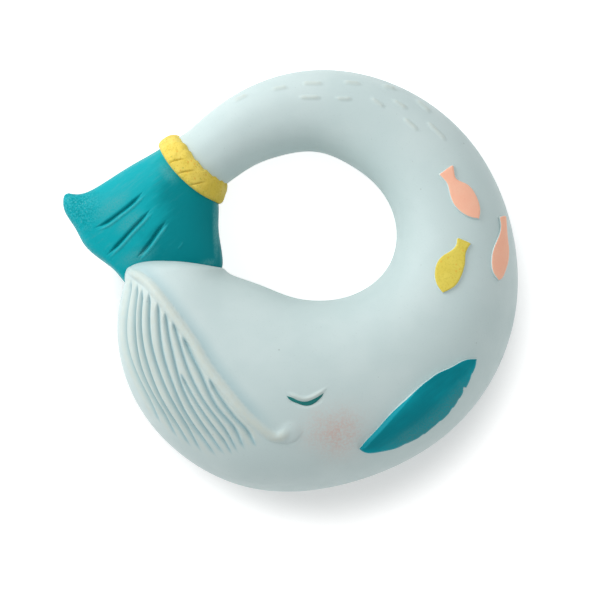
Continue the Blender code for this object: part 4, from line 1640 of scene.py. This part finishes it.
@dataclass
class Pad:
    """A raised piece with painted top, drawn between two edges that meet at its ends.

    Args:
        name: Name of the piece.
        node: The solid that it stands for.
        slot: Its finish's slot in the record.
        left: One edge in drawing units, from its first end.
        right: The other edge.
        flank: The side of the ring that it is on.
        paint: Its finish.
        height: How far its top stands above the skin.
        sink: How far its rim goes below the skin.
        bevel: Width of its rounded rim.
        rows: Points along it.
        columns: Points across it.
        bare: Share of the height up to which skin shows on its walls.
        lit: How much higher skin shows on the wall of its left edge, which faces the lamp: painted highlight
            of the lit wall.
        corner: Radius of the corners at its first end.
        inset: Most of the width that each of these takes.
        touch: Distance at which two points are one.
        soft: Change of height over which the skin's edge runs out.
        left_side: Places across it between which its left side ends.
    """

    name: str
    node: str
    slot: str
    left: Points
    right: Points
    flank: Flank
    paint: BrushedPaint | StippledPaint
    height: float
    sink: float = 0.4 * MM
    bevel: float = 0.35 * MM
    rows: int = 96
    columns: int = 41
    bare: float = 0.55
    lit: float = 0.0
    corner: float = 0.0
    inset: float = 0.45
    touch: float = 1e-9
    soft: float = 0.25
    left_side: Pair = (0.3, 0.6)

    def edges(self, sight: Sight) -> tuple[np.ndarray, np.ndarray]:
        """The two edges of the piece.

        Args:
            sight: Where the drawing's places are on the body.

        Returns:
            Two plan lines of the same number of points.
        """
        left, right = sight.line(self.left, self.rows), sight.line(self.right, self.rows)
        if not self.corner:
            return left, right
        short = np.clip(1 - run_along((left + right) / 2) / self.corner, 0.0, 1.0)
        width = np.linalg.norm(right - left, axis=1) + self.touch
        share = np.minimum(self.corner * (1 - np.sqrt(1 - short**2)) / width, self.inset)
        inward = share[:, None] * (right - left)
        return left + inward, right - inward

    def share_across(self) -> np.ndarray:
        """Places across the piece, closer together at its edges."""
        return (1 - np.cos(np.linspace(0.0, np.pi, self.columns))) / 2

    def profile(self, gap: np.ndarray, along: np.ndarray, across: np.ndarray) -> np.ndarray:
        """Share of the full height at distances from the edge and at places along and across the piece."""
        share = np.clip(gap / self.bevel, 0.0, 1.0)
        return np.sqrt(1 - (1 - share) ** 2)

    def marks(self, rise: np.ndarray, along: np.ndarray, across: np.ndarray) -> dict[str, np.ndarray]:
        """Marks for the finish.

        Args:
            rise: Height above the skin as a share of the full height.
            along: Place along the piece, from 0 to 1.
            across: Place across it, from 0 to 1.

        Returns:
            The marks that the finish reads.
        """
        # Skin shows higher on the left wall, which the lamp lights: painted highlight.
        level = self.bare + self.lit * (1 - eased(across, *self.left_side))
        bare = 1 - eased(rise - level, -self.soft, self.soft)
        plain = np.zeros_like(rise)
        marks = {"bare": bare, "hollow": plain, "brushed": plain + EVEN_BRUSH}
        return marks | {"dust": plain, "satin": plain, "stipple": plain}

    def build(self, model: Model, body: Body) -> None:
        """Makes the piece on the body.

        Args:
            model: The model that it goes into.
            body: The body that carries it.
        """
        left, right = self.edges(body.sight)
        across = np.broadcast_to(self.share_across()[None], (self.rows, self.columns))
        along = np.broadcast_to(np.linspace(0.0, 1.0, self.rows)[:, None], across.shape)
        plan = left[:, None] + (right - left)[:, None] * across[..., None]
        flat = plan.reshape(-1, 2)
        outline = np.concatenate([left, right[::-1], left[:1]])
        outline = outline[np.diff(run_along(outline), prepend=-1.0) > self.touch]
        gap, _ = nearest(flat, outline)
        share = self.profile(gap, along.ravel(), across.ravel())
        _, normals = body.skin.drop(flat, self.flank)
        lift = -self.sink + (self.height + self.sink) * share
        spots, normals = body.skin.drop(flat - normals[:, :2] * np.maximum(lift, 0.0)[:, None], self.flank)
        points = spots + normals * lift[:, None]
        points[:, 2] = np.maximum(points[:, 2], 0.0)
        faces = quads(self.rows, self.columns, False)
        if self.flank is Flank.NEAR:
            faces = [face[::-1] for face in faces]
        marks = self.marks(np.clip(lift / self.height, 0.0, 1.0), along.ravel(), across.ravel())
        whole = Shape(points, faces, marks)
        model.add(self.name, whole, self.node, self.slot, self.paint.material())


@dataclass
class Flipper(Pad):
    """The leaf-shaped flipper: a bevel on the front of its leading edge, nicks in its trailing edge.

    Nicks are given by place along the edge, depth in millimetres and reach. Each falls off fast towards
    the tip and slowly towards the root. Pairs of places say where along or across it a change starts and
    ends. The paint is laid on thinner towards the trailing edge, under a painted sheen. The front of the
    bevel, which faces the lamp, is paler as a painted highlight, and more skin shows on the walls of the
    leading edge as a painted highlight of the lit wall.
    """

    soft: float = 0.12
    leading_half: Pair = (0.35, 0.65)
    slope_width: float = 1.1 * MM
    slope_rise: float = 0.55
    slope_least: float = 0.05 * MM
    slope_narrows: Pair = (0.30, 0.68)
    slope_ends: Pair = (0.50, 0.72)
    # More skin shows on the walls of the leading edge, which faces the lamp: painted highlight of the lit
    # wall.
    bare_change: Pair = (0.40, 0.95)
    bare_along: Pair = (0.22, 0.62)
    brush_shares: tuple[float, float, float] = (0.40, 0.30, 0.25)
    brush_across: Pair = (0.50, 0.95)
    # Painted highlight on the front of the bevel.
    bevel_highlight_across: Pair = (0.10, 0.32)
    bevel_highlight_along: Pair = (0.45, 0.75)
    dust_across: Pair = (0.42, 0.92)
    dust_along: Pair = (0.08, 0.30)
    # Painted sheen over the trailing half.
    painted_sheen_share: float = 0.75
    painted_sheen_across: Pair = (0.50, 0.90)
    painted_sheen_along: Pair = (0.10, 0.35)
    painted_sheen_ends: Pair = (0.72, 0.95)
    nicks: tuple[tuple[float, float, float], ...] = (
        (0.90, 0.12, 0.012), (0.80, 0.62, 0.013), (0.73, 0.14, 0.015), (0.66, 0.20, 0.018),
        (0.55, 0.15, 0.02), (0.42, 0.18, 0.02), (0.30, 0.10, 0.025),
    )
    nick_falls: Pair = (6.0, 0.6)
    narrowest: float = 0.5 * MM

    def edges(self, sight: Sight) -> tuple[np.ndarray, np.ndarray]:
        """The leading and the trailing edge, the second with its nicks.

        Args:
            sight: Where the drawing's places are on the body.

        Returns:
            Two plan lines of the same number of points.
        """
        leading, trailing = super().edges(sight)
        along = np.linspace(0.0, 1.0, self.rows)
        inward = leading - trailing
        inward /= np.maximum(np.linalg.norm(inward, axis=1), self.narrowest)[:, None]
        depth = np.zeros(self.rows)
        fast, slow = self.nick_falls
        for spot, deep, reach in self.nicks:
            away = (along - spot) / reach
            fall = np.exp(-np.where(away > 0, fast, slow) * away**2)
            depth = np.maximum(depth, deep * MM * fall)
        return leading, trailing + inward * depth[:, None]

    def profile(self, gap: np.ndarray, along: np.ndarray, across: np.ndarray) -> np.ndarray:
        """Adds the long bevel at the front of the leading edge to the rounded rim.

        Args:
            gap: Distance from the edge.
            along: Place along the piece, from 0 to 1.
            across: Place across it, from 0 to 1.

        Returns:
            Shares from 0 to 1.
        """
        rim = super().profile(gap, along, across)
        width = self.slope_width * (1 - eased(along, *self.slope_narrows)) + self.slope_least
        slope = np.clip(gap / width, 0.0, 1.0)
        front = (1 - eased(across, *self.leading_half)) * (1 - eased(along, *self.slope_ends))
        return rim * (1 - self.slope_rise * (1 - slope) * front)

    def marks(self, rise: np.ndarray, along: np.ndarray, across: np.ndarray) -> dict[str, np.ndarray]:
        """Marks for the finish: painted highlight on the bevel and the lit walls, dusty and with painted
        sheen towards the trailing edge.

        Args:
            rise: Height above the skin as a share of the full height.
            along: Place along the piece, from 0 to 1.
            across: Place across it, from 0 to 1.

        Returns:
            The marks that the finish reads.
        """
        marks = super().marks(rise, along, across)
        # Skin shows higher on the lit walls of the leading edge: painted highlight.
        ahead = 1 - eased(across, *self.leading_half)
        more, less = self.bare_change
        low = self.bare * (1 + ahead * (more - less * (1 - eased(along, *self.bare_along))))
        marks["bare"] = 1 - eased(rise - low, -self.soft, self.soft)
        # Painted highlight on the front of the bevel.
        front = (1 - eased(across, *self.bevel_highlight_across)) * (1 - eased(along, *self.bevel_highlight_along))
        plain, behind, ahead = self.brush_shares
        marks["brushed"] = plain + behind * eased(across, *self.brush_across) + ahead * front
        marks["dust"] = eased(across, *self.dust_across) * eased(along, *self.dust_along)
        # Painted sheen towards the trailing edge.
        satin = self.painted_sheen_share * eased(across, *self.painted_sheen_across) * eased(along, *self.painted_sheen_along)
        marks["satin"] = satin * (1 - eased(along, *self.painted_sheen_ends))
        return marks


@dataclass
class Flippers:
    """The pair of flippers."""

    leading: Points = (
        (358.7, 448.8), (365.4, 440.6), (376.6, 428.8), (390.5, 413.0), (404.7, 399.2), (421.5, 384.4),
        (430.6, 377.6), (434.6, 374.6), (442.6, 370.4), (452.4, 366.0), (466.0, 359.2), (477.0, 358.6),
    )
    trailing: Points = (
        (358.7, 448.8), (362.6, 451.9), (366.8, 453.4), (374.0, 453.4), (382.2, 452.0), (396.3, 448.7),
        (410.3, 442.4), (421.5, 436.8), (431.4, 429.1), (441.2, 421.4), (451.0, 411.6), (458.4, 401.2),
        (465.0, 390.6), (469.2, 382.6), (472.4, 374.6), (475.8, 366.6), (477.0, 358.6),
    )
    height: float = 1.5 * MM

    def build(self, model: Model, body: Body) -> None:
        """Makes both flippers.

        Args:
            model: The model that they go into.
            body: The body that carries them.
        """
        for flank in Flank:
            node = f"flipper_{flank.name.lower()}"
            pad = Flipper(
                f"whale_{node}", node, "flipper_paint", self.leading, self.trailing, flank,
                FLIPPER_PAINT, self.height, rows=170, columns=61, bevel=0.3 * MM,
            )
            pad.build(model, body)


@dataclass
class Shoal:
    """The three little fish on the near flank. Skin shows along the left edge of the coral ones, which faces
    the lamp: painted highlight of the lit wall.
    """

    height: float = 0.62 * MM
    bevel: float = 0.45 * MM
    corner: float = 0.55 * MM
    upper_lit: float = 0.33
    edge_lit: float = 0.30
    coral_upper: tuple[Points, Points] = (
        (
            (437.3, 174.0), (441.5, 178.5), (445.3, 182.8), (448.4, 192.0), (452.3, 203.5), (460.5, 212.8),
            (471.0, 218.3), (479.4, 219.7),
        ),
        (
            (453.3, 163.8), (454.8, 171.0), (456.2, 177.4), (465.9, 182.9), (474.3, 191.0), (479.2, 201.6),
            (480.9, 210.5), (479.4, 219.7),
        ),
    )
    coral_edge: tuple[Points, Points] = (
        (
            (498.2, 216.0), (499.7, 223.6), (499.2, 232.0), (495.3, 241.8), (491.5, 253.3), (490.7, 263.0),
            (492.7, 273.3), (498.3, 281.0),
        ),
        (
            (506.5, 215.0), (507.2, 223.0), (508.2, 236.0), (509.6, 251.0), (508.6, 262.8), (505.3, 273.3),
            (501.5, 279.5), (498.3, 281.0),
        ),
    )
    mustard: tuple[Points, Points] = (
        ((456.6, 236.5), (455, 245.7), (441.4, 256), (434.4, 270), (436.6, 285.3), (442.5, 293.4)),
        ((472.3, 243), (466.4, 253.3), (465.8, 261.4), (463, 273.3), (455.5, 286.3), (442.5, 293.4)),
    )

    def build(self, model: Model, body: Body) -> None:
        """Makes the three fish.

        Args:
            model: The model that they go into.
            body: The body that carries them.
        """
        fishes = (
            ("fish_coral_upper", "coral_paint", self.coral_upper, CORAL_PAINT, self.upper_lit),
            ("fish_coral_edge", "coral_paint", self.coral_edge, CORAL_PAINT, self.edge_lit),
            ("fish_mustard", "mustard_paint", self.mustard, MUSTARD_PAINT, 0.0),
        )
        for node, slot, (left, right), paint, lit in fishes:
            pad = Pad(
                f"whale_{node}", node, slot, left, right, Flank.NEAR, paint, self.height,
                bevel=self.bevel, lit=lit, corner=self.corner,
            )
            pad.build(model, body)


@dataclass
class Lashes:
    """The closed eyes: a thin crescent in the bed under each lid."""

    upper: Points = (
        (286.0, 395.4), (291.0, 396.9), (298.0, 400.0), (305.1, 401.4), (312.1, 399.4), (319.1, 395.7),
        (324.4, 392.2),
    )
    lower: Points = (
        (286.0, 395.4), (289.0, 399.6), (296.7, 403.5), (306.5, 406.1), (313.5, 404.2), (319.1, 400.0),
        (322.4, 396.2), (324.4, 392.2),
    )
    height: float = 0.24 * MM

    def build(self, model: Model, body: Body) -> None:
        """Makes both lashes.

        Args:
            model: The model that they go into.
            body: The body that carries them.
        """
        for flank in Flank:
            node = f"lash_{flank.name.lower()}"
            pad = Pad(
                f"whale_{node}", node, "lash_paint", self.upper, self.lower, flank, LASH_PAINT,
                self.height, sink=0.3 * MM, bevel=0.3 * MM, rows=72, columns=17, bare=0.2,
            )
            pad.build(model, body)


# The studio


@dataclass
class Studio:
    """A plain white floor, a large soft lamp from the upper left, a weak one opposite, and the camera.

    Soft light comes from all round. Lamps are given by name, place, size and power. The floor shows a little
    brighter than it is lit, more so away from the ring and in its hole, so that only the shadow shows.
    """

    frame_width: float = 600.0
    sensor: float = 36.0
    clip_start: float = 0.05
    lamps: tuple[tuple[str, tuple[float, float, float], float, float], ...] = (
        ("key", (-0.38, 0.28, 0.24), 0.36, 1.72),
        ("fill", (0.62, 0.30, 0.42), 0.50, 0.20),
    )
    sky: float = 0.625
    floor_size: float = 3.0
    floor_tone: float = 0.92
    floor_glow: float = 0.165
    glow_rise: float = 0.42
    glow_spot: Pair = (314.0, 312.0)
    glow_span: Pair = (40.5 * MM, 52.5 * MM)
    hole_glow: float = 0.50
    hole_span: Pair = (20.9 * MM, 28.6 * MM)

    def camera(self, model: Model) -> None:
        """Sets the camera straight above the drawing's middle.

        Args:
            model: The model that it looks at.
        """
        x, y = DRAWING.plan([DRAWING.middle])[0] + model.shift[:2]
        data = bpy.data.cameras.new("camera")
        data.sensor_width = self.sensor
        data.lens = self.sensor * DRAWING.distance / (self.frame_width * DRAWING.unit)
        data.clip_start = self.clip_start
        camera = bpy.data.objects.new("camera", data)
        camera.location = (x, y, DRAWING.focus + DRAWING.distance)
        bpy.context.scene.collection.objects.link(camera)
        bpy.context.scene.camera = camera

    def light(self) -> None:
        """Hangs the lamps and turns them to the ring."""
        for name, place, size, power in self.lamps:
            data = bpy.data.lights.new(name, "AREA")
            data.shape = "DISK"
            data.size = size
            data.energy = power
            lamp = bpy.data.objects.new(name, data)
            lamp.location = place
            lamp.rotation_euler = (-Vector(place)).to_track_quat("-Z", "Y").to_euler()
            bpy.context.scene.collection.objects.link(lamp)

    @staticmethod
    def seen(wiring: Wiring) -> Socket:
        """1 for a ray that comes from the camera or by way of a mirror or glass, else 0."""
        path = wiring.node("LightPath").outputs
        shown = wiring.maths("MAXIMUM", path["Is Camera Ray"], path["Is Glossy Ray"])
        return wiring.maths("MAXIMUM", shown, path["Is Transmission Ray"])

    def world(self) -> None:
        """Lights the room softly, and shows it white."""
        wiring = Wiring(bpy.data.worlds.new("room"))
        wiring.tree.nodes.clear()
        white = (1.0, 1.0, 1.0)
        soft, shown = (
            wiring.node("Background", {"Color": white, "Strength": strength}).outputs[0]
            for strength in (self.sky, 1.0)
        )
        mix = wiring.node("MixShader", {0: self.seen(wiring), 1: soft, 2: shown})
        wiring.node("OutputWorld", {"Surface": mix.outputs[0]})
        bpy.context.scene.world = wiring.owner

    @staticmethod
    def glow(wiring: Wiring, spot: np.ndarray, span: Pair, ends: Pair) -> Socket:
        """A number that changes with the distance from a spot on the floor.

        Args:
            wiring: Where the nodes go.
            spot: The spot in the model.
            span: Distances between which it changes.
            ends: Its value nearer and farther than that.

        Returns:
            The number.
        """
        feeds = {0: wiring.place, 1: (spot[0], spot[1], 0.0)}
        away = wiring.node("VectorMath", feeds, operation="DISTANCE").outputs["Value"]
        return wiring.ranged(away, *span, *ends)

    def white(self, model: Model) -> bpy.types.Material:
        """The floor's finish, which shows white but keeps the ring's shadow.

        Args:
            model: The model that lies on it.

        Returns:
            The finished material.
        """
        wiring = Wiring(bpy.data.materials.new("floor"))
        wiring.tree.nodes.clear()
        ring, hole = DRAWING.plan([self.glow_spot, DRAWING.hole]) + model.shift[:2]
        outside = self.glow(wiring, ring, self.glow_span, (self.floor_glow, self.floor_glow + self.glow_rise))
        inside = self.glow(wiring, hole, self.hole_span, (self.hole_glow, 0.0))
        glow = wiring.node("Emission", {"Strength": wiring.maths("ADD", outside, inside)})
        plain = wiring.node("BsdfDiffuse", {"Color": (self.floor_tone,) * 3})
        both = wiring.node("AddShader", {0: plain.outputs[0], 1: glow.outputs[0]})
        mix = wiring.node("MixShader", {0: self.seen(wiring), 1: plain.outputs[0], 2: both.outputs[0]})
        wiring.node("OutputMaterial", {"Surface": mix.outputs[0]})
        return wiring.owner

    def floor(self, model: Model) -> None:
        """Lays the floor.

        Args:
            model: The model that lies on it.
        """
        half = self.floor_size / 2
        corners = [(-half, -half, 0.0), (half, -half, 0.0), (half, half, 0.0), (-half, half, 0.0)]
        mesh = bpy.data.meshes.new("floor")
        mesh.from_pydata(corners, [], [(0, 1, 2, 3)])
        mesh.materials.append(self.white(model))
        floor = bpy.data.objects.new("floor", mesh)
        bpy.context.scene.collection.objects.link(floor)

    def build(self, model: Model) -> None:
        """Sets up camera, lamps, room and floor.

        Args:
            model: The model to show.
        """
        bpy.context.scene.view_settings.view_transform = "Standard"
        self.camera(model)
        self.light()
        self.world()
        self.floor(model)


def main() -> None:
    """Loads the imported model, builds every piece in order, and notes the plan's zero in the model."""
    logging.basicConfig(level=logging.INFO, format="%(message)s")
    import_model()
    sweep = Sweep()
    model = Model.measured(sweep)
    LOG.info("plan's zero in the model: %.3f, %.3f mm", *(model.shift[:2] / MM))
    Studio().build(model)
    body = Body(sweep)
    body.build(model)
    Fluke(sweep).build(model)
    Collar(sweep).build(model)
    Flippers().build(model, body)
    Shoal().build(model, body)
    Lashes().build(model, body)


if __name__ == "__main__":
    main()
